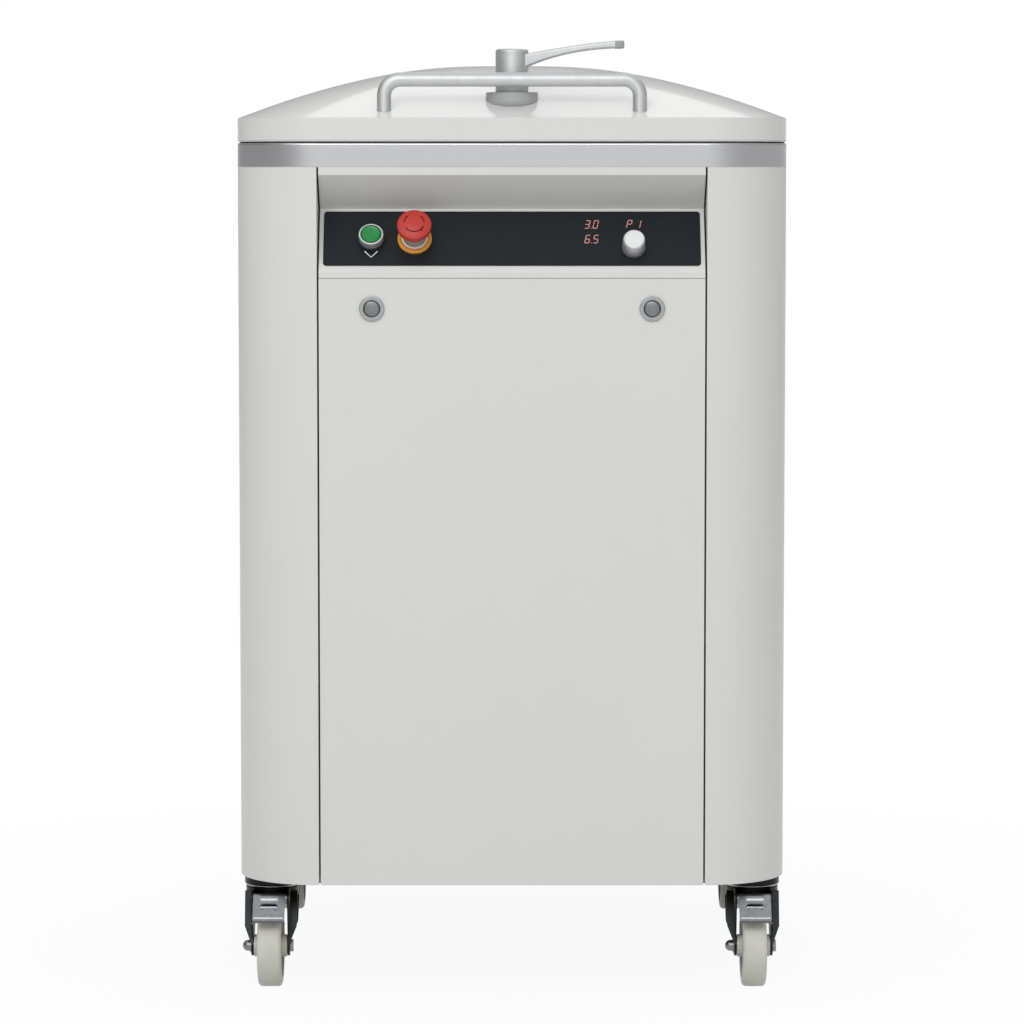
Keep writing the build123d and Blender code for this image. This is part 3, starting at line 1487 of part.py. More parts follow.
def castor_brake(x, y):
    """Brake pedal: cross tube and pin, a neck, a sloped plate with a lip, a pad over the wheel."""
    axle_y = y - castor_trail
    pivot_y = axle_y - brake_ear_forward
    pivot_z = wheel_radius + brake_ear_rise
    half_width = fork_leg_x - brake_side_gap
    pad_inner = wheel_radius + brake_pad_gap
    pad_outer = pad_inner + brake_pad_thickness
    pad_start = 90 + degrees(atan2(brake_ear_forward, brake_ear_rise))
    shoulder = (pivot_y - pedal_shoulder, pivot_z + pedal_rise)
    foot = (pivot_y - pedal_reach, pivot_z - pedal_drop)
    pedal_face = Plane(
        origin=(x, (shoulder[0] + foot[0]) / 2, (shoulder[1] + foot[1]) / 2),
        x_dir=(1, 0, 0),
        z_dir=(0, -pedal_rise - pedal_drop, pedal_reach - pedal_shoulder),
    )
    with BuildPart() as brake:
        with BuildSketch(Plane.YZ.offset(x - half_width)):
            with Locations((pivot_y, pivot_z)):
                Circle(brake_tube_radius)
        extrude(amount=2 * half_width)
        with BuildSketch(Plane.YZ.offset(x - pedal_neck_width / 2)):
            with BuildLine():
                Line((pivot_y, pivot_z + brake_tube_radius - brake_sheet / 2), shoulder)
            trace(line_width=brake_sheet)
        extrude(amount=pedal_neck_width)
        with BuildSketch(Plane.YZ.offset(x - pedal_width / 2)):
            with BuildLine():
                Polyline(shoulder, foot, (foot[0] - pedal_lip, foot[1]))
            trace(line_width=brake_sheet)
        extrude(amount=pedal_width)
        with BuildSketch(pedal_face):
            with Locations((0, pedal_window_rise)):
                Polygon(
                    (-pedal_window_top / 2, pedal_window_height / 2),
                    (-pedal_window_foot / 2, -pedal_window_height / 2),
                    (pedal_window_foot / 2, -pedal_window_height / 2),
                    (pedal_window_top / 2, pedal_window_height / 2),
                    align=None,
                )
            with Locations((0, -pedal_hole_drop)):
                with GridLocations(pedal_hole_pitch, 0, 2, 1):
                    Circle(pedal_hole_radius)
        extrude(amount=brake_sheet, both=True, mode=Mode.SUBTRACT)
        with BuildSketch(Plane.YZ.offset(x - brake_pad_width / 2)):
            with BuildLine():
                inner = CenterArc((axle_y, wheel_radius), pad_inner, pad_start, brake_pad_span)
                outer = CenterArc((axle_y, wheel_radius), pad_outer, pad_start, brake_pad_span)
                Line(inner @ 0, outer @ 0)
                Line(inner @ 1, outer @ 1)
            make_face()
        extrude(amount=brake_pad_width)
        with BuildSketch(Plane.YZ.offset(x - fork_sheet_x)):
            with Locations((pivot_y, pivot_z)):
                Circle(brake_pin_radius)
        extrude(amount=2 * fork_sheet_x)
    return brake


for corner, x, y, braked in (
    ("fl", -castor_x, -castor_y, True),
    ("fr", castor_x, -castor_y, True),
    ("rl", -castor_x, castor_y, False),
    ("rr", castor_x, castor_y, False),
):
    keep(castor_fork(x, y, braked), f"castor_fork_{corner}")
    keep(castor_axle(x, y), f"castor_axle_{corner}")
    keep(castor_wheel(x, y), f"castor_wheel_{corner}")
    if braked:
        keep(castor_brake(x, y), f"castor_brake_{corner}")

os.makedirs("parts", exist_ok=True)
for name, piece in parts.items():
    export_step(piece, f"parts/{name}.step")
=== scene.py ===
"""Looks of the hydraulic dough divider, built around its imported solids. Metres, +Z up, front towards -Y."""

from math import atan2, cos, pi, radians, sin

import bmesh
import bpy
import numpy as np
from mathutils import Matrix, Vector


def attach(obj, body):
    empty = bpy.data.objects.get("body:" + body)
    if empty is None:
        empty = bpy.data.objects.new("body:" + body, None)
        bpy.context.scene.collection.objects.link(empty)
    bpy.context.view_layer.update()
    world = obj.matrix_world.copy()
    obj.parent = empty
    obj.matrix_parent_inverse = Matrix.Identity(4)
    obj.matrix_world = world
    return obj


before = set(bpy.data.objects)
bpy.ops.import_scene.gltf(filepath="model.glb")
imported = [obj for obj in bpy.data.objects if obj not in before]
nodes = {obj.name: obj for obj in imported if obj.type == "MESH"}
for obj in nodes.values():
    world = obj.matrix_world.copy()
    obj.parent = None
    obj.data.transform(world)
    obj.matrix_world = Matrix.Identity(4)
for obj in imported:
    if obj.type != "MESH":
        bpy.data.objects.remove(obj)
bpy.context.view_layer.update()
scene = bpy.context.scene
scene.view_settings.view_transform = "Standard"

# A millimetre in metres, and sizes shared with the solids in millimetres
MM = 0.001
MM_PER_METRE = 1000
REAR_FACE = 340
SLOPE_RUN, SLOPE_RISE = 47, 72
SLOPE_LEAN = atan2(SLOPE_RUN, SLOPE_RISE)
CASTORS = {"fl": (-283, -255), "fr": (283, -255), "rl": (-283, 255), "rr": (283, 255)}
CASTOR_TRAIL = 38
WHEEL_RADIUS = 47.5
SWIVEL_BOTTOM = 114

# Directions on the sloped control plate, the middle of its face in metres, and places on it in millimetres
PLATE_OUT = np.array((0, -cos(SLOPE_LEAN), sin(SLOPE_LEAN)))
PLATE_UP = np.array((0, sin(SLOPE_LEAN), cos(SLOPE_LEAN)))
PLATE_ACROSS = np.array((1.0, 0, 0))
PLATE_CENTRE = (0, -316.5, 874)
PLATE_THICKNESS = 1.5
PLATE_MIDDLE = np.array(PLATE_CENTRE) * MM + PLATE_OUT * PLATE_THICKNESS * MM
START_PLACE = (-162, -1)
ESTOP_PLACE = (-112, 0)
KNOB_PLACE = (140, -12)


def on_plate(across, rise, out=0.0):
    """Points of the control plate's face: millimetres across, up its slope and out of it."""
    across, rise, out = np.broadcast_arrays(across, rise, out)
    steps = np.stack((across, rise, out), -1) * MM
    return PLATE_MIDDLE + steps @ np.stack((PLATE_ACROSS, PLATE_UP, PLATE_OUT))


def linear(code):
    """Linear RGBA of an sRGB hex colour: the standard curve, channel by channel."""
    channels = [int(code[i:i + 2], 16) / 255 for i in (0, 2, 4)]
    return tuple(c / 12.92 if c <= 0.04045 else ((c + 0.055) / 1.055) ** 2.4 for c in channels) + (1.0,)


def put(tree, kind, inputs=None, **settings):
    """Add a node: settings are its properties, inputs are values or the sockets that feed it."""
    made = tree.nodes.new(kind)
    for name, value in settings.items():
        setattr(made, name, value)
    for name, value in (inputs or {}).items():
        if isinstance(value, bpy.types.NodeSocket):
            tree.links.new(value, made.inputs[name])
        else:
            made.inputs[name].default_value = value
    return made


def blank(name):
    """A material with only an output, its tree and its place coordinates."""
    made = bpy.data.materials.new(name)
    made.use_nodes = True
    made.node_tree.nodes.clear()
    output = put(made.node_tree, "ShaderNodeOutputMaterial")
    place = put(made.node_tree, "ShaderNodeTexCoord").outputs["Object"]
    return made, made.node_tree, output, place


# Sizes of the patterns that the finishes share, in millimetres
PAINT_DRIFT = 200
PLASTIC_MOTTLE = 25
BRUSH_LENGTH = 125
SEGMENT_GRAIN = 1.1

# How far roughness swings either way, how strongly patterns tilt the surface, how many finer layers they
# have, and the rays that round an edge
PAINT_SWING, BRUSH_SWING, GRAIN_SWING = 0.05, 0.07, 0.06
PAINT_TILT, BRUSH_TILT, GRAIN_TILT = 0.12, 0.1, 0.15
CLOUD_LAYERS, GRAIN_LAYERS, BRUSH_LAYERS = 3.0, 2.0, 4.0
EDGE_SAMPLES = 4

# A brush line's depth in millimetres, and the upward share of a normal past which a face counts as level
BRUSH_DEPTH = 0.05
LEVEL_FACE = 0.7

# Edges rub bright where the rounded normal leaves the flat one: the cosines at which that starts and ends,
# and how bright it gets
RUB_START, RUB_END, RUB_MOST = 0.98, 0.8, 0.6


def noise(tree, place, size_mm, layers):
    """A cloudy pattern between 0 and 1, with clouds of about size_mm and finer layers in them."""
    inputs = {"Vector": place, "Scale": MM_PER_METRE / size_mm, "Detail": layers}
    return put(tree, "ShaderNodeTexNoise", inputs).outputs["Fac"]


def blend(tree, share, tone, other):
    """A colour between two tones, each a hex code or a socket; share is how much of the other shows."""
    first, second = (linear(code) if isinstance(code, str) else code for code in (tone, other))
    return put(tree, "ShaderNodeMix", {0: share, 6: first, 7: second}, data_type="RGBA").outputs[2]


def reckon(tree, operation, *values):
    """The result of one operation on values or sockets."""
    return put(tree, "ShaderNodeMath", dict(enumerate(values)), operation=operation).outputs[0]


def ramp(tree, value, start, end, low, high, kind="LINEAR"):
    """A value that runs from low at start to high at end and stays there beyond them."""
    inputs = {"Value": value, "From Min": start, "From Max": end, "To Min": low, "To Max": high}
    return put(tree, "ShaderNodeMapRange", inputs, interpolation_type=kind).outputs["Result"]


def swing_about(tree, pattern, middle, swing):
    """A value that follows a pattern from middle - swing to middle + swing."""
    return ramp(tree, pattern, 0.0, 1.0, middle - swing, middle + swing)


def round_edges(tree, edge_mm):
    """The surface's normal with its edges rounded by edge_mm."""
    return put(tree, "ShaderNodeBevel", {"Radius": edge_mm * MM}, samples=EDGE_SAMPLES).outputs["Normal"]


def relief(tree, pattern, tilt, depth_mm, normal):
    """A normal tilted by a pattern's slopes, for a relief of depth_mm."""
    inputs = {"Height": pattern, "Strength": tilt, "Distance": depth_mm * MM, "Normal": normal}
    return put(tree, "ShaderNodeBump", inputs).outputs["Normal"]


def dress(tree, output, inputs):
    """Join a surface of these inputs to a material's output."""
    surface = put(tree, "ShaderNodeBsdfPrincipled", inputs)
    tree.links.new(surface.outputs[0], output.inputs["Surface"])


def powder_coat(name, tone, cloud_tone, gloss, peel_mm, peel_depth, edge_mm, shine=0.5, flow=0.0):
    """Powder-coated metal: satin, with orange peel of peel_mm, a faint drift of tone and rounded edges.

    flow is how much of a clear, flowed-out top layer it has.
    """
    made, tree, output, place = blank(name)
    cloud = noise(tree, place, PAINT_DRIFT, CLOUD_LAYERS)
    peel = noise(tree, place, peel_mm, GRAIN_LAYERS)
    inputs = {
        "Base Color": blend(tree, cloud, tone, cloud_tone),
        "Roughness": swing_about(tree, peel, gloss, PAINT_SWING),
        "Normal": relief(tree, peel, PAINT_TILT, peel_depth, round_edges(tree, edge_mm)),
        "IOR": 1.5,
        "Specular IOR Level": shine,
        "Coat Weight": flow,
        "Coat Roughness": 0.07,
    }
    dress(tree, output, inputs)
    return made


def brushed_steel(name, tone, streak_tone, gloss, line_mm, edge_mm):
    """Brushed steel: lines of line_mm, along X on level faces and level round upright ones."""
    made, tree, output, place = blank(name)
    normal = put(tree, "ShaderNodeNewGeometry").outputs["Normal"]
    upward = put(tree, "ShaderNodeSeparateXYZ", {0: normal}).outputs["Z"]
    level = reckon(tree, "GREATER_THAN", upward, LEVEL_FACE)
    fine, long = MM_PER_METRE / line_mm, MM_PER_METRE / BRUSH_LENGTH
    on_top = put(tree, "ShaderNodeMapping", {"Vector": place, "Scale": (long, fine, long)}).outputs[0]
    round_side = put(tree, "ShaderNodeMapping", {"Vector": place, "Scale": (long, long, fine)}).outputs[0]
    along = put(tree, "ShaderNodeMix", {0: level, 4: round_side, 5: on_top}, data_type="VECTOR").outputs[1]
    # The mappings' scales size the lines, so the pattern itself stays a metre coarse
    lines = noise(tree, along, MM_PER_METRE, BRUSH_LAYERS)
    inputs = {
        "Base Color": blend(tree, lines, streak_tone, tone),
        "Metallic": 1.0,
        "Roughness": swing_about(tree, lines, gloss, BRUSH_SWING),
        "Normal": relief(tree, lines, BRUSH_TILT, BRUSH_DEPTH, round_edges(tree, edge_mm)),
    }
    dress(tree, output, inputs)
    return made


def grained_metal(name, tone, dark_tone, worn_tone, gloss, grain_mm, depth, patch_mm, edge_mm):
    """Blasted, cast or plated metal: a grain of grain_mm, soft patches of tone and edges rubbed bright."""
    made, tree, output, place = blank(name)
    patches = noise(tree, place, patch_mm, CLOUD_LAYERS)
    grain = noise(tree, place, grain_mm, GRAIN_LAYERS)
    edge = round_edges(tree, edge_mm)
    flat = put(tree, "ShaderNodeNewGeometry").outputs["Normal"]
    facing = put(tree, "ShaderNodeVectorMath", {0: edge, 1: flat}, operation="DOT_PRODUCT").outputs["Value"]
    rubbed = ramp(tree, facing, RUB_START, RUB_END, 0.0, RUB_MOST)
    inputs = {
        "Base Color": blend(tree, rubbed, blend(tree, patches, tone, dark_tone), worn_tone),
        "Metallic": 1.0,
        "Roughness": swing_about(tree, patches, gloss, GRAIN_SWING),
        "Normal": relief(tree, grain, GRAIN_TILT, depth, edge),
    }
    dress(tree, output, inputs)
    return made


def moulded_plastic(name, tone, cloud_tone, gloss, grain_mm, depth, edge_mm, shine=0.5, scatter=0.0):
    """Moulded plastic: a spark-eroded grain of grain_mm, a faint mottle and soft moulded edges."""
    made, tree, output, place = blank(name)
    cloud = noise(tree, place, PLASTIC_MOTTLE, CLOUD_LAYERS)
    grain = noise(tree, place, grain_mm, GRAIN_LAYERS)
    inputs = {
        "Base Color": blend(tree, cloud, tone, cloud_tone),
        "Roughness": swing_about(tree, grain, gloss, PAINT_SWING),
        "Normal": relief(tree, grain, PAINT_TILT, depth, round_edges(tree, edge_mm)),
        "IOR": 1.49,
        "Specular IOR Level": shine,
        "Subsurface Weight": scatter,
        "Subsurface Scale": 3 * MM,
    }
    dress(tree, output, inputs)
    return made


def lit_segment(name, tone, core_tone, power):
    """Light-emitting display segments: a saturated tone with a brighter, grainy core."""
    made, tree, output, place = blank(name)
    cloud = noise(tree, place, SEGMENT_GRAIN, GRAIN_LAYERS)
    inputs = {
        "Base Color": linear("5A1E14"),
        "Roughness": 0.35,
        "Emission Color": blend(tree, cloud, tone, core_tone),
        "Emission Strength": power,
    }
    dress(tree, output, inputs)
    return made


# Light grey powder coat on folded sheet: satin, soft broad highlights
cabinet_paint = powder_coat(
    "powder_coated_sheet", "DDDDDA", "D9D9D7",
    gloss=0.36, peel_mm=2.2, peel_depth=0.05, edge_mm=1.0, shine=0.3,
)
# The same coat on the cast lid, flowed out glossier, so the handle's feet show in it
lid_paint = powder_coat(
    "powder_coated_casting", "DDDDDB", "DADAD8",
    gloss=0.24, peel_mm=2.6, peel_depth=0.02, edge_mm=1.6, flow=0.5,
)
# Grey enamel on the frame and power pack inside: plain and half matt
grey_enamel = powder_coat(
    "grey_enamel", "6B6E72", "63666A", gloss=0.45, peel_mm=2.0, peel_depth=0.05, edge_mm=1.0
)
# Brushed stainless sheet: long level lines, a bright line on its folded edge. The lines are really about
# 0.1 mm apart and are drawn coarser, here and on ground steel, so that they show
stainless = brushed_steel("brushed_stainless", "C6C7C9", "B9BABC", gloss=0.32, line_mm=0.7, edge_mm=1.2)
# Ground bar steel: finer lines, brighter
ground_steel = brushed_steel("ground_steel", "C8C9CA", "B0B2B4", gloss=0.26, line_mm=0.4, edge_mm=0.6)
# Bead-blasted aluminium casting: even satin with rubbed edges. Its grain is really about 0.1 mm and is
# drawn coarser, as on the other metals, so that it shows
satin_aluminium = grained_metal(
    "bead_blasted_aluminium", "D0D2D3", "C6C8C9", "E6E8E8",
    gloss=0.54, grain_mm=0.6, depth=0.03, patch_mm=16, edge_mm=0.8,
)
# Spun aluminium: whiter, with an even sheen
spun_aluminium = grained_metal(
    "spun_aluminium", "E7E9E9", "DFE1E1", "F0F2F2",
    gloss=0.52, grain_mm=0.5, depth=0.01, patch_mm=12, edge_mm=0.6,
)
# Anodised aluminium of the knob's knurled grip: greyer, with a broad soft sheen
anodised_aluminium = grained_metal(
    "anodised_aluminium", "BEBEC2", "B4B4B8", "D2D2D6",
    gloss=0.62, grain_mm=0.5, depth=0.01, patch_mm=8, edge_mm=0.3,
)
# Dark passivated steel on the castor forks: nearly black, with edges rubbed grey
dark_steel = grained_metal(
    "passivated_steel", "2D2F30", "202223", "66696B",
    gloss=0.36, grain_mm=1.2, depth=0.02, patch_mm=25, edge_mm=0.8,
)
# Galvanised steel on the pedals: mottled spangle
galvanised = grained_metal(
    "galvanised_steel", "A6AAAC", "7D8183", "D6D9DA",
    gloss=0.38, grain_mm=2.0, depth=0.03, patch_mm=6, edge_mm=0.6,
)
# Zinc die-casting and plate on the lock cores and axle bolts, duller
zinc_casting = grained_metal(
    "zinc_casting", "86888A", "7A7C7E", "B4B6B8",
    gloss=0.32, grain_mm=0.8, depth=0.03, patch_mm=10, edge_mm=0.5,
)
# Nickel plate on the lock rings: pale, with a soft sheen
nickel_plate = grained_metal(
    "nickel_plate", "A9ABAC", "9FA1A2", "D2D4D5",
    gloss=0.36, grain_mm=0.5, depth=0.01, patch_mm=8, edge_mm=0.5,
)
# Silver-lacquered casting of the latch's bush: pale and even, with little mirror in it
lacquered_casting = moulded_plastic(
    "lacquered_casting", "B2B4B5", "ACAEAF", gloss=0.36, grain_mm=0.8, depth=0.02, edge_mm=0.6
)
# Printed polycarbonate over the control plate: black with a fine matt grain
black_panel = moulded_plastic(
    "printed_polycarbonate", "1D2124", "1A1E21",
    gloss=0.40, grain_mm=0.5, depth=0.02, edge_mm=0.6, shine=0.18,
)
# Glass-filled nylon of the emergency stop: strong colour under a dull shine
red_plastic = moulded_plastic(
    "red_nylon", "C13A34", "B9352F", gloss=0.40, grain_mm=0.7, depth=0.03, edge_mm=1.0, shine=0.35
)
yellow_plastic = moulded_plastic(
    "yellow_nylon", "E8A347", "DE993E", gloss=0.42, grain_mm=0.7, depth=0.03, edge_mm=0.6
)
# The red nylon of the arrows, which stand raised on the stop's head: painted darker, a painted shade where
# engraved grooves would be
groove_shade_red = moulded_plastic(
    "red_nylon_groove_shade", "701614", "681210", gloss=0.6, grain_mm=0.7, depth=0.03, edge_mm=0.2, shine=0.2
)
# Tinted polycarbonate cap, glossier
green_plastic = moulded_plastic(
    "green_polycarbonate", "208A46", "1B8140", gloss=0.28, grain_mm=0.5, depth=0.01, edge_mm=0.6, shine=0.4
)
# Light grey nylon collar of the emergency stop
grey_plastic = moulded_plastic(
    "grey_nylon", "9C998E", "939085", gloss=0.36, grain_mm=0.7, depth=0.02, edge_mm=0.4
)
# Grey polyamide of the lever's end cap: half matt
grey_polyamide = moulded_plastic(
    "grey_polyamide", "A4A6A7", "9C9E9F", gloss=0.42, grain_mm=0.7, depth=0.02, edge_mm=0.3
)
# Silver-lacquered plastic of the start button's bezel
silver_lacquer = moulded_plastic(
    "silver_lacquer", "868889", "7E8081", gloss=0.3, grain_mm=0.5, depth=0.01, edge_mm=0.5
)
# The same lacquer painted near white on the bezel's rim and on the stop's collar ring: a painted highlight
# along them
highlight_lacquer = moulded_plastic(
    "highlight_lacquer", "F0F3F1", "E8ECEA", gloss=0.28, grain_mm=0.5, depth=0.01, edge_mm=0.3
)
# White silicone bead under the lid's edge: soft and dull
white_silicone = moulded_plastic(
    "white_silicone", "EFF0EE", "E8E9E7", gloss=0.5, grain_mm=0.8, depth=0.02, edge_mm=0.2
)
# White screen print on the panel: flat and a little chalky
white_print = moulded_plastic(
    "white_print", "F2F3F2", "EAEBEA", gloss=0.5, grain_mm=0.6, depth=0.01, edge_mm=0.1
)
# Cast nylon wheels, a little translucent and yellowed
wheel_nylon = moulded_plastic(
    "cast_nylon", "D5D5CC", "C7C7BC", gloss=0.46, grain_mm=1.4, depth=0.06, edge_mm=1.0, scatter=0.15
)
# Milled polyethylene of the press blocks: waxy white
white_polymer = moulded_plastic(
    "milled_polyethylene", "E6E6E1", "DEDED8",
    gloss=0.44, grain_mm=1.0, depth=0.05, edge_mm=0.8, scatter=0.1,
)
# Black rubber of the seals: matt
black_rubber = moulded_plastic(
    "black_rubber", "262728", "1F2021", gloss=0.65, grain_mm=0.8, depth=0.03, edge_mm=0.4
)
# Grey rubber of the brake shoes: matt and dusty
grey_rubber = moulded_plastic(
    "grey_rubber", "6A6B69", "5F605E", gloss=0.6, grain_mm=0.8, depth=0.03, edge_mm=0.4
)
# Black polyamide of the cable gland: a dull shine
black_polyamide = moulded_plastic(
    "black_polyamide", "2A2B2C", "232425", gloss=0.45, grain_mm=0.8, depth=0.03, edge_mm=0.5
)
# Seven-segment light-emitting display, glowing dimly through the print
red_segment = lit_segment("red_display_segment", "CA8077", "F0BDB4", power=0.84)

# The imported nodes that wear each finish
FINISHES = {
    cabinet_paint: ("left_side_panel", "right_side_panel", "front_panel", "rear_panel", "control_fascia"),
    lid_paint: ("lid_shell",),
    stainless: ("top_plate", "basin", "knife_grid", "hinge_brackets"),
    ground_steel: (
        "hinge_pins",
        "piston_rod",
        "knife_rods",
        "guide_columns",
        "latch_spindle",
        "latch_strike",
        "estop_stem",
        "hydraulic_pipes",
    ),
    satin_aluminium: ("lid_handle", "lever", "valve_block", "pump_motor"),
    spun_aluminium: ("program_knob",),
    grey_enamel: (
        "base_plate",
        "main_frame",
        "knife_carrier",
        "crosshead",
        "press_stems",
        "oil_tank",
        "electrical_box",
        "press_cylinder",
        "knife_cylinders",
    ),
    nickel_plate: ("lock_collars",),
    lacquered_casting: ("latch_bush",),
    silver_lacquer: ("start_bezel",),
    black_panel: ("control_plate",),
    red_plastic: ("estop_head",),
    yellow_plastic: ("estop_base",),
    green_plastic: ("start_button",),
    white_polymer: ("press_blocks", "lid_press_plate"),
    black_rubber: ("lid_seal",),
    black_polyamide: ("cable_gland",),
    zinc_casting: ("lock_left", "lock_right") + tuple("castor_axle_" + corner for corner in CASTORS),
    dark_steel: ("castor_heads",) + tuple("castor_fork_" + corner for corner in CASTORS),
    galvanised: ("castor_brake_fl", "castor_brake_fr"),
    wheel_nylon: tuple("castor_wheel_" + corner for corner in CASTORS),
}
for finish, names in FINISHES.items():
    for name in names:
        nodes[name].data.materials.clear()
        nodes[name].data.materials.append(finish)

# Points closer than this, in metres, are one; edges sharper than this stay crisp
WELD = 1e-6
CREASE = radians(38)


def grid_faces(rows, columns, start=0):
    """Quads of a rows by columns grid of points whose columns join end to end."""
    row, column = np.meshgrid(np.arange(rows - 1), np.arange(columns), indexing="ij")
    beside = (column + 1) % columns
    here, ahead = row * columns, (row + 1) * columns
    corners = (here + column, here + beside, ahead + beside, ahead + column)
    return np.stack(corners, -1).reshape(-1, 4) + start


def piece(name, shapes, finish, body):
    """One closed piece from grids of points (rows, columns, 3), merged at the poles, faces outwards."""
    points, faces, start = [], [], 0
    for grid in shapes:
        rows, columns = grid.shape[:2]
        points.append(grid.reshape(-1, 3))
        faces.append(grid_faces(rows, columns, start))
        start += rows * columns
    mesh = bpy.data.meshes.new(name)
    mesh.from_pydata(np.concatenate(points).tolist(), [], np.concatenate(faces).tolist())
    shell = bmesh.new()
    shell.from_mesh(mesh)
    bmesh.ops.remove_doubles(shell, verts=shell.verts, dist=WELD)
    bmesh.ops.recalc_face_normals(shell, faces=shell.faces)
    shell.to_mesh(mesh)
    shell.free()
    mesh.shade_smooth()
    mesh.set_sharp_from_angle(angle=CREASE)
    mesh.materials.append(finish)
    made = bpy.data.objects.new(name, mesh)
    scene.collection.objects.link(made)
    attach(made, body)


def turned(profile, centre, axis, steps=64, ridges=0, wave=0.0):
    """A turned shape of (radius, height) pairs: height along the axis, radius swung round it.

    A knurl makes the radius longer and shorter by the share wave, ridges times round.
    """
    axis = np.asarray(axis, float)
    # Any direction that is not along the axis gives a side to start from
    side = np.cross(axis, (1, 0, 0) if abs(axis[0]) < 0.9 else (0, 0, 1))
    side /= np.linalg.norm(side)
    other = np.cross(axis, side)
    turn = np.linspace(0, 2 * pi, steps, endpoint=False)
    round_axis = np.outer(np.cos(turn), side) + np.outer(np.sin(turn), other)
    round_axis *= 1 + wave * np.cos(ridges * turn)[:, None]
    radius, height = np.asarray(profile, float).T * MM
    return centre + height[:, None, None] * axis + radius[:, None, None] * round_axis


def capped(rings):
    """Closed rings of points (rings, points, 3) joined in turn, each end pinched shut at its middle."""
    ends = rings.mean(1, keepdims=True) * np.ones((1, rings.shape[1], 1))
    return np.concatenate((ends[:1], rings, ends[-1:]))


def ribbon(path, across, out, half_width, height):
    """A raised stroke: its four-cornered section carried along a path, pinched shut at both ends."""
    path = np.asarray(path, float)
    spread = np.broadcast_to(half_width, len(path))[:, None] * MM * across
    lift = np.broadcast_to(out, path.shape) * height * MM
    return capped(np.stack((path - spread, path + spread, path + spread + lift, path - spread + lift), 1))


def rounded_loop(half, corner, steps=24):
    """Points round a rectangle: a quarter circle at each corner, joined by the straight sides."""
    turn = (np.arange(4)[:, None] + np.linspace(0, 1, steps)).ravel() * pi / 2
    signs = np.repeat(((1, 1), (-1, 1), (-1, -1), (1, -1)), steps, axis=0)
    return signs * (half - corner) + corner * np.stack((np.cos(turn), np.sin(turn)), 1)


# Display: red figures leaning to the right, each of up to seven pointed segments
FIGURE_SIZE = (4.8, 10.4)
FIGURE_LEAN = 0.21
FIGURE_STROKE = 0.44
FIGURE_LIFT = 0.12
SEGMENT_ENDS = {
    "a": ((0, 1), (1, 1)),
    "b": ((1, 1), (1, 0.5)),
    "c": ((1, 0.5), (1, 0)),
    "d": ((0, 0), (1, 0)),
    "e": ((0, 0.5), (0, 0)),
    "f": ((0, 1), (0, 0.5)),
    "g": ((0, 0.5), (1, 0.5)),
}
SEGMENT_STATIONS = np.array((0.03, 0.14, 0.86, 0.97))
SEGMENT_WIDTHS = np.array((0.2, 1, 1, 0.2))
FIGURES = {"3": "abcdg", "0": "abcdef", "6": "acdefg", "5": "acdfg", "P": "abefg", "1": "bc"}


def figure_strokes(figure, middle, rise):
    """Segments of one figure: straight ribbons between lattice points, sheared sideways by height."""
    strokes = []
    for segment in FIGURES[figure]:
        ends = (np.array(SEGMENT_ENDS[segment]) - 0.5) * FIGURE_SIZE
        line = ends[0] + SEGMENT_STATIONS[:, None] * (ends[1] - ends[0])
        along = (ends[1] - ends[0]) / np.linalg.norm(ends[1] - ends[0])
        side = -along[1] * PLATE_ACROSS + along[0] * PLATE_UP
        path = on_plate(middle + line[:, 0] + FIGURE_LEAN * line[:, 1], rise + line[:, 1])
        strokes.append(ribbon(path, side, PLATE_OUT, SEGMENT_WIDTHS * FIGURE_STROKE, FIGURE_LIFT))
    return strokes


# Each figure's middle and height on the plate, and the decimal points of two rows
UPPER_ROW, LOWER_ROW, PROGRAMME_ROW = 20.6, 0.7, 21.0
FIGURE_PLACES = (
    ("3", 87.0, UPPER_ROW),
    ("0", 96.6, UPPER_ROW),
    ("6", 87.0, LOWER_ROW),
    ("5", 96.6, LOWER_ROW),
    ("P", 135.4, PROGRAMME_ROW),
    ("1", 145.8, PROGRAMME_ROW),
)
POINT_PLACE = 91.2
POINT = ((0, 0), (0.5, 0), (0.5, FIGURE_LIFT), (0, FIGURE_LIFT))
POINT_STEPS = 12
figures = []
for figure, middle, rise in FIGURE_PLACES:
    figures += figure_strokes(figure, middle, rise)
for rise in (UPPER_ROW, LOWER_ROW):
    dot = on_plate(POINT_PLACE, rise - FIGURE_SIZE[1] / 2)
    figures.append(turned(POINT, dot, PLATE_OUT, POINT_STEPS))
piece("display_figures", figures, red_segment, "cabinet")

# Printed chevron under the start button
CHEVRON = np.array(((-7.4, -15.8), (-0.2, -23.7), (0.2, -23.7), (7.4, -15.8)))
CHEVRON_SIDE = np.array(((0.7, 0.7), (0.2, 0.7), (-0.2, 0.7), (-0.7, 0.7)))
CHEVRON_STROKE = 0.6
CHEVRON_LIFT = 0.08
chevron = on_plate(START_PLACE[0] + CHEVRON[:, 0], CHEVRON[:, 1])
chevron_side = CHEVRON_SIDE @ np.stack((PLATE_ACROSS, PLATE_UP))
start_mark = ribbon(chevron, chevron_side, PLATE_OUT, CHEVRON_STROKE, CHEVRON_LIFT)
piece("start_mark", [start_mark], white_print, "cabinet")
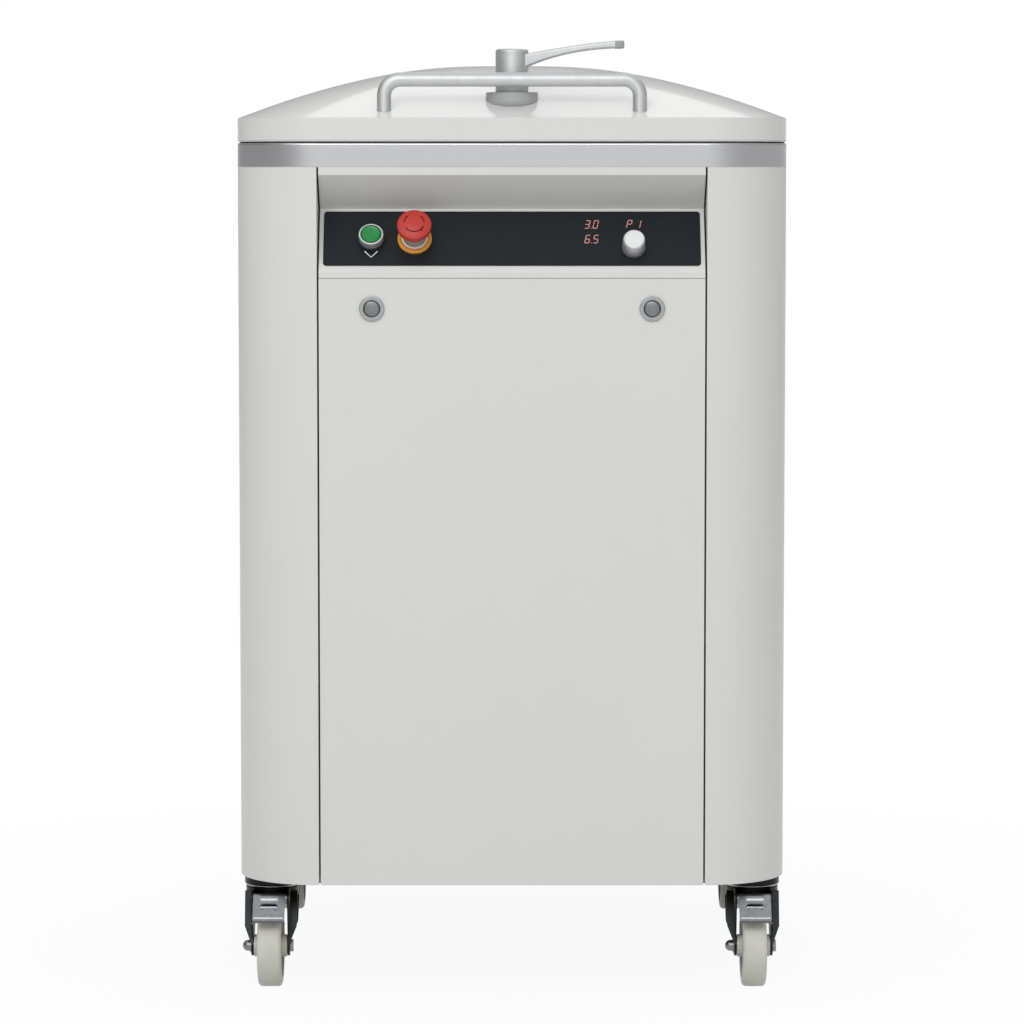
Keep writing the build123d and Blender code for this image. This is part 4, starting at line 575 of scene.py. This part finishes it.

# Start button: a shallow dish inside a raised ring on the cap, the bezel's rim in near-white lacquer as a
# painted highlight, and black rubber rings as painted shade round the cap and at the bezel's foot
START_FACE = (
    (0, 14.9),
    (0, 14.98),
    (4, 15.02),
    (7.2, 15.1),
    (8.4, 15.25),
    (8.9, 15.5),
    (9.4, 15.55),
    (9.9, 15.4),
    (10.1, 15.05),
    (10.1, 14.9),
    (0, 14.9),
)
start_face = turned(START_FACE, on_plate(*START_PLACE), PLATE_OUT)
piece("start_face", [start_face], green_plastic, "start_button")
START_RING = (
    (12.3, 13.4),
    (12.35, 13.75),
    (12.55, 14.05),
    (12.9, 14.2),
    (13.25, 14.05),
    (13.55, 13.65),
    (13.7, 13.1),
    (12.9, 13.1),
    (12.3, 13.4),
)
start_ring = turned(START_RING, on_plate(*START_PLACE), PLATE_OUT)
piece("start_ring", [start_ring], highlight_lacquer, "cabinet")
# Black rubber rings that paint shade: one in the gap round the cap, one round the bezel's foot
START_GAP_SHADE = ((11.55, 13.4), (11.55, 13.62), (11.75, 13.72), (12.1, 13.72), (12.25, 13.4), (11.55, 13.4))
START_FOOT_SHADE = ((14.2, 0), (14.95, 0), (14.95, 4.6), (14.7, 4.9), (14.2, 4.9), (14.2, 0))
start_shade_rings = [turned(ring, on_plate(*START_PLACE), PLATE_OUT) for ring in (START_GAP_SHADE, START_FOOT_SHADE)]
piece("start_shade_rings", start_shade_rings, black_rubber, "cabinet")

# Emergency stop: arrows raised on the head's dome, in dark red as painted shade of engraved grooves, and a
# grey collar on a ring in near-white lacquer as a painted highlight
ESTOP_DOME = 40.5
ESTOP_TOP = 37.5
ARROW_RADIUS = 11.4
ARROW_SPANS = ((-148, -14), (176, 124), (4, 56))
ARROW_STEPS = 24
ARROW_STROKE = 0.8
ARROW_LIFT = 0.2
ARROW_HEAD = np.linspace(2.0, 0.1, 7)


def dome_place(radius, turn):
    """Places on the head's dome: a sphere of ESTOP_DOME whose top is ESTOP_TOP out of the plate."""
    out = ESTOP_TOP - ESTOP_DOME + np.sqrt(ESTOP_DOME**2 - radius**2)
    across, rise = radius * np.cos(turn), radius * np.sin(turn)
    return on_plate(ESTOP_PLACE[0] + across, ESTOP_PLACE[1] + rise, out)


arrows = []
for start, end in ARROW_SPANS:
    turn = np.radians(np.linspace(start, end, ARROW_STEPS))
    outward = np.outer(np.cos(turn), PLATE_ACROSS) + np.outer(np.sin(turn), PLATE_UP)
    width = np.full(ARROW_STEPS, ARROW_STROKE)
    width[-len(ARROW_HEAD):] = ARROW_HEAD
    arrows.append(ribbon(dome_place(ARROW_RADIUS, turn), outward, PLATE_OUT, width, ARROW_LIFT))
piece("estop_arrows", arrows, groove_shade_red, "estop_head")
COLLAR = (
    (13.02, 4.6),
    (13.5, 4.6),
    (13.5, 12.9),
    (13.2, 13.5),
    (12.6, 13.8),
    (8.2, 13.8),
    (8.2, 13.52),
    (13.02, 13.52),
    (13.02, 4.6),
)
COLLAR_RING = ((13.02, 3.0), (14.5, 3.0), (14.8, 3.3), (14.8, 4.4), (14.4, 4.9), (13.02, 5.2), (13.02, 3.0))
collar = turned(COLLAR, on_plate(*ESTOP_PLACE), PLATE_OUT)
piece("estop_collar", [collar], grey_plastic, "cabinet")
# The collar ring in near-white lacquer: a painted highlight
collar_ring = turned(COLLAR_RING, on_plate(*ESTOP_PLACE), PLATE_OUT)
piece("estop_ring", [collar_ring], highlight_lacquer, "cabinet")

# Programme knob: a knurled grip round its side
GRIP = ((12.9, 1.2), (13.3, 1.2), (13.5, 1.6), (12.65, 18.4), (12.45, 18.8), (12.0, 18.8), (12.9, 1.2))
GRIP_RIDGES = 48
GRIP_WAVE = 0.004
grip = turned(GRIP, on_plate(*KNOB_PLACE), PLATE_OUT, 4 * GRIP_RIDGES, GRIP_RIDGES, GRIP_WAVE)
piece("knob_grip", [grip], anodised_aluminium, "knob")

# Panel locks: a chamfered face on each core
LOCK_FACE = ((0, 0), (9.5, 0), (9.5, 0.35), (8.1, 1.45), (7.8, 1.55), (0, 1.55))
LOCK_PLACE = np.array((161, -340.5, 796))
for side, label in ((-1, "lock_left"), (1, "lock_right")):
    lock_face = turned(LOCK_FACE, LOCK_PLACE * (side, 1, 1) * MM, (0, -1, 0))
    piece(label + "_face", [lock_face], zinc_casting, label)

# Castors: a bright bearing race under each head, and bearing shields in the wheels
RACE_TURN = np.radians(np.linspace(0, 360, 17))
RACE_RADIUS, RACE_HEIGHT, RACE_WIRE = 30.6, 1.6, 1.1
RACE_ROUND = np.stack((np.cos(RACE_TURN), np.sin(RACE_TURN)), 1)
RACE = (RACE_RADIUS, RACE_HEIGHT) + RACE_WIRE * RACE_ROUND
SHIELD = (
    (6.0, 0),
    (6.0, 0.5),
    (7.0, 0.6),
    (7.6, 0.35),
    (10.2, 0.35),
    (10.8, 0.6),
    (11.6, 0.5),
    (11.6, 0),
    (6.0, 0),
)
SHIELD_STEPS = 40
HUB_FACE = 19.0
for corner, (x, y) in CASTORS.items():
    head = np.array((x, y, SWIVEL_BOTTOM)) * MM
    piece("castor_race_" + corner, [turned(RACE, head, (0, 0, 1))], ground_steel, "cabinet")
    hub = np.array((x, y - CASTOR_TRAIL, WHEEL_RADIUS))
    shields = [
        turned(SHIELD, (hub + (side * HUB_FACE, 0, 0)) * MM, (side, 0, 0), SHIELD_STEPS) for side in (-1, 1)
    ]
    piece("bearing_shields_" + corner, shields, ground_steel, "wheel_" + corner)

# Brake pedals: a tab under the neck, a raised edge below the window, and a lip with a rubber roll under it;
# the tab and both beads wear brighter metal than the galvanised pedal, a painted highlight
PEDAL_SHOULDER = np.array((0, -66, 109.8))
PEDAL_RUN, PEDAL_FALL = 22, 21.8
PEDAL_DOWN = np.array((0, -PEDAL_RUN, -PEDAL_FALL)) / np.hypot(PEDAL_RUN, PEDAL_FALL)
PEDAL_OUT = np.array((0, -PEDAL_FALL, PEDAL_RUN)) / np.hypot(PEDAL_RUN, PEDAL_FALL)
PEDAL_SKIN = 1.25
TAB_ENDS = np.array(((-10, -1.2, -3.6), (10, -1.2, -3.6)))
TAB_HALF_HEIGHT, TAB_DEPTH = 1.9, 3.2
WINDOW_EDGE = 15.4
LIP_PLACE = (0, -24.8, -21.35)
ROLL_PLACE = (0, -23.2, -25.0)
BEAD_STEPS, BEAD_SIDES = 25, 9


def bead(middle, along, out, half_length, half_width, height, droop=0.0):
    """A pressed bead: a half ellipse, half_width along the sheet and height out, carried across.

    Its ends are rounded off and fall by droop, with the eighth power of the way along.
    """
    share = np.sin(np.linspace(-pi / 2, pi / 2, BEAD_STEPS))
    size = np.clip((1 - np.abs(share)) * half_length / half_width, 0, 1)
    size = np.sqrt(1 - (1 - size) ** 2)[:, None, None]
    turn = np.linspace(0, pi, BEAD_SIDES)
    section = np.outer(np.cos(turn) * half_width, along) + np.outer(np.sin(turn) * height, out)
    line = middle + np.outer(share * half_length, (1, 0, 0)) - np.outer(droop * share**8, (0, 0, 1))
    return (line[:, None, :] + size * section) * MM


for corner in ("fl", "fr"):
    origin = np.array((*CASTORS[corner], 0)) + PEDAL_SHOULDER + PEDAL_SKIN * PEDAL_OUT
    # The tab wears whiter spun aluminium than the galvanised pedal: a painted highlight
    tab = ribbon((origin + TAB_ENDS) * MM, np.array((0, 0, 1.0)), (0, -1.0, 0), TAB_HALF_HEIGHT, TAB_DEPTH)
    piece("pedal_tab_" + corner, [tab], spun_aluminium, "brake_" + corner)
    window_edge = origin + WINDOW_EDGE * PEDAL_DOWN
    # The beads wear ground steel, brighter than the galvanised pedal: a painted highlight along them
    beads = [
        bead(window_edge, PEDAL_DOWN, PEDAL_OUT, half_length=10.6, half_width=0.9, height=0.8),
        bead(origin + LIP_PLACE, (0, 1.0, 0), (0, 0, 1.0), half_length=18.2, half_width=1.4, height=1.4),
    ]
    piece("pedal_beads_" + corner, beads, ground_steel, "brake_" + corner)
    roll = bead(
        origin + ROLL_PLACE, (0, 0, 1.0), (0, -1.0, 0),
        half_length=19.4, half_width=2.2, height=1.8, droop=3.0,
    )
    piece("pedal_roll_" + corner, [roll], grey_rubber, "brake_" + corner)

# Lid: a thin white bead under the rim's edge, outside the seal
RIM_HALF = np.array((319.4, 339.4))
RIM_CORNER = 94.4
RIM_WIDTH = 1.7
RIM_TOP = 988.45
RIM_BOTTOM = 987.45
outer = rounded_loop(RIM_HALF, RIM_CORNER)
inner = rounded_loop(RIM_HALF - RIM_WIDTH, RIM_CORNER - RIM_WIDTH)
rings = ((outer, RIM_TOP), (outer, RIM_BOTTOM), (inner, RIM_BOTTOM), (inner, RIM_TOP), (outer, RIM_TOP))
edge_bead = np.stack([np.column_stack((ring, np.full(len(ring), height))) for ring, height in rings]) * MM
piece("lid_edge_bead", [edge_bead], white_silicone, "lid")

# Lever: a rounded cap over the end of its arm, with rings of (way along the arm, share of its size)
ARM_END = np.array((128, -282, 1099.15))
ARM_RISE = radians(1.66)
TIP_HALF = np.array((9.5, 4.6))
TIP_CORNER = 2.4
TIP_RINGS = np.array(((-9, 1), (-0.4, 1), (0.7, 0.95), (1.4, 0.82), (1.75, 0.6)))
arm_along = np.array((cos(ARM_RISE), 0, sin(ARM_RISE)))
arm_frame = np.array(((0, 1, 0), (-sin(ARM_RISE), 0, cos(ARM_RISE))))
tip_section = rounded_loop(TIP_HALF, TIP_CORNER, steps=6) @ arm_frame
lever_tip = ARM_END + TIP_RINGS[:, :1, None] * arm_along + TIP_RINGS[:, 1:, None] * tip_section
piece("lever_tip", [capped(lever_tip * MM)], grey_polyamide, "latch")

# Rear louvres: a painted skin a hair proud of each pressed hood, its section carried along the hood
HOOD_SECTION = np.array(((0, 0, 7.06), (0, 6.03, -3.53), (0, 4.27, -3.53), (0, 0, 3.98)))
HOOD_ENDS = np.array(((-55.05, 0, 0), (55.05, 0, 0)))
LOUVRE_MIDDLE = np.array((0, REAR_FACE, 330))
LOUVRE_STEP = np.array((160, 0, 22))
LOUVRE_COLUMNS = (-0.5, 0.5)
LOUVRE_ROWS = np.arange(8) - 3.5
hoods = [
    capped((LOUVRE_MIDDLE + LOUVRE_STEP * (column, 0, row) + HOOD_ENDS[:, None] + HOOD_SECTION) * MM)
    for column in LOUVRE_COLUMNS
    for row in LOUVRE_ROWS
]
piece("louvre_hoods", hoods, cabinet_paint, "cabinet")

# Screws: button heads on the rear panel and hinge leaves, sunk heads in the lid's inner plate
SCREW_HEAD = (
    (0, 0),
    (4.2, 0),
    (4.2, 0.5),
    (3.9, 1.3),
    (3.1, 1.9),
    (1.9, 2.2),
    (1.8, 2.2),
    (1.7, 1.2),
    (0, 1.2),
)
SUNK_HEAD = ((0, 0), (4.6, 0), (4.6, 0.25), (4.2, 0.45), (2.0, 0.45), (1.8, 0.1), (0, 0.1))
SCREW_STEPS = 20
REAR_SCREWS = [(x, REAR_FACE, z) for x in (-208, 208) for z in (155, 360, 560, 760, 940)]
HINGE_SCREWS = [(side * 170 + step * 26, 345, 968.5) for side in (-1, 1) for step in (-1, 1)]
LID_SCREWS = [(x, y, 987) for x in (-290, 290) for y in (-220, 0, 220)]


def screws(head, places, axis):
    """Screw heads of one turned profile at places given in millimetres."""
    return [turned(head, np.array(place) * MM, axis, SCREW_STEPS) for place in places]


piece("rear_screws", screws(SCREW_HEAD, REAR_SCREWS, (0, 1, 0)), ground_steel, "cabinet")
piece("hinge_screws", screws(SCREW_HEAD, HINGE_SCREWS, (0, 1, 0)), ground_steel, "cabinet")
piece("lid_screws", screws(SUNK_HEAD, LID_SCREWS, (0, 0, -1)), ground_steel, "lid")

# Studio: a pale floor that fades to plain white away from the object and keeps its shadow, with low walls
# round it; far to the sides they turn grey, which keeps the steel band's ends dark
FLOOR_REACH = 12.0
WALL_HEIGHT = 2.2
SHADOW_START, SHADOW_END = 0.3, 1.3
SHADOW_SHARE = 0.93
FALL_START, FALL_END = 2.4, 6.5
LEFT_SHARE = 0.1
RIGHT_SHARE = 0.42
floor_mesh = bpy.data.meshes.new("floor")
floor_corners = np.array(((-1, -1, 0), (1, -1, 0), (1, 1, 0), (-1, 1, 0))) * FLOOR_REACH
wall_corners = floor_corners + (0, 0, WALL_HEIGHT)
studio_faces = [(0, 1, 2, 3), (1, 0, 4, 5), (2, 1, 5, 6), (3, 2, 6, 7), (0, 3, 7, 4)]
floor_mesh.from_pydata(np.concatenate((floor_corners, wall_corners)).tolist(), [], studio_faces)
floor = bpy.data.objects.new("floor", floor_mesh)
scene.collection.objects.link(floor)
floor_finish, tree, output, place = blank("pale_studio_floor")
away = put(tree, "ShaderNodeVectorMath", {0: place}, operation="LENGTH").outputs["Value"]
fade = ramp(tree, away, SHADOW_START, SHADOW_END, SHADOW_SHARE, 1.0)
across = put(tree, "ShaderNodeSeparateXYZ", {0: place}).outputs["X"]
for side, side_share in ((-1, LEFT_SHARE), (1, RIGHT_SHARE)):
    fade = ramp(tree, across, side * FALL_START, side * FALL_END, fade, side_share, "SMOOTHSTEP")
rays = put(tree, "ShaderNodeLightPath").outputs
seen = reckon(tree, "MAXIMUM", rays["Is Camera Ray"], rays["Is Glossy Ray"])
seen = reckon(tree, "MAXIMUM", seen, rays["Is Transmission Ray"])
share = reckon(tree, "MULTIPLY", seen, fade)
matt = put(tree, "ShaderNodeBsdfDiffuse", {"Color": linear("DCDCDC")})
white = put(tree, "ShaderNodeEmission", {"Color": (1, 1, 1, 1), "Strength": 1.0})
mixed = put(tree, "ShaderNodeMixShader", {0: share, 1: matt.outputs[0], 2: white.outputs[0]})
tree.links.new(mixed.outputs[0], output.inputs["Surface"])
floor_mesh.materials.append(floor_finish)

# World: a soft studio with a bright front and top, dim sides and back, and a little more from the right;
# the sides run into the back and into the front between these Y of the direction
BACK_LIGHT = 0.3
SIDE_LIGHT = 0.29
RIGHT_LIGHT = 0.12
FRONT_LIGHT = 0.86
TOP_LIGHT = 0.66
BACK_START, BACK_END = -0.3, 0.6
FRONT_START, FRONT_END = -0.5, -1.0
world = bpy.data.worlds.new("studio")
scene.world = world
world.use_nodes = True
tree = world.node_tree
tree.nodes.clear()
direction = put(tree, "ShaderNodeTexCoord").outputs["Generated"]
towards = put(tree, "ShaderNodeSeparateXYZ", {0: direction}).outputs
sides = ramp(tree, towards["Y"], BACK_START, BACK_END, SIDE_LIGHT, BACK_LIGHT)
sides = reckon(tree, "MULTIPLY_ADD", towards["X"], RIGHT_LIGHT, sides)
wrap = ramp(tree, towards["Y"], FRONT_START, FRONT_END, sides, FRONT_LIGHT, "SMOOTHSTEP")
above = reckon(tree, "MULTIPLY", towards["Z"], towards["Z"])
level = reckon(tree, "MULTIPLY_ADD", above, TOP_LIGHT, wrap)
studio = put(tree, "ShaderNodeBackground", {"Color": (1, 1, 1, 1), "Strength": level})
put(tree, "ShaderNodeOutputWorld", {"Surface": studio.outputs[0]})


def soft_lamp(name, place, aim, size, power):
    """A rectangular softbox at place, turned towards aim; sizes in metres, power in watts."""
    lamp = bpy.data.lights.new(name, "AREA")
    lamp.shape = "RECTANGLE"
    lamp.size, lamp.size_y = size
    lamp.energy = power
    holder = bpy.data.objects.new(name, lamp)
    scene.collection.objects.link(holder)
    holder.location = place
    holder.rotation_euler = (Vector(aim) - Vector(place)).to_track_quat("-Z", "Y").to_euler()


soft_lamp("key_softbox", place=(-2.6, -3.9, 4.5), aim=(0, -0.3, 0.9), size=(3.6, 3.0), power=47)
soft_lamp("front_softbox", place=(-0.75, -6.4, 4.3), aim=(0, -0.3, 0.7), size=(4.5, 2.4), power=129)
soft_lamp("back_softbox", place=(0.9, 2.4, 3.7), aim=(0, -0.2, 1.0), size=(3.2, 2.2), power=18)

# Camera: in front and tilted a little down; a long lens, its focal length given in pixels of the picture
CAMERA_PLACE = (0, -5.095, 0.957)
CAMERA_TILT = 4.75
FOCAL_PIXELS, PICTURE_PIXELS = 4140, 1024
SENSOR = 36
camera = bpy.data.objects.new("camera", bpy.data.cameras.new("camera"))
scene.collection.objects.link(camera)
scene.camera = camera
camera.location = CAMERA_PLACE
camera.rotation_euler = (radians(90 - CAMERA_TILT), 0, 0)
camera.data.sensor_width = SENSOR
camera.data.lens = FOCAL_PIXELS / PICTURE_PIXELS * SENSOR
camera.data.clip_end = 100
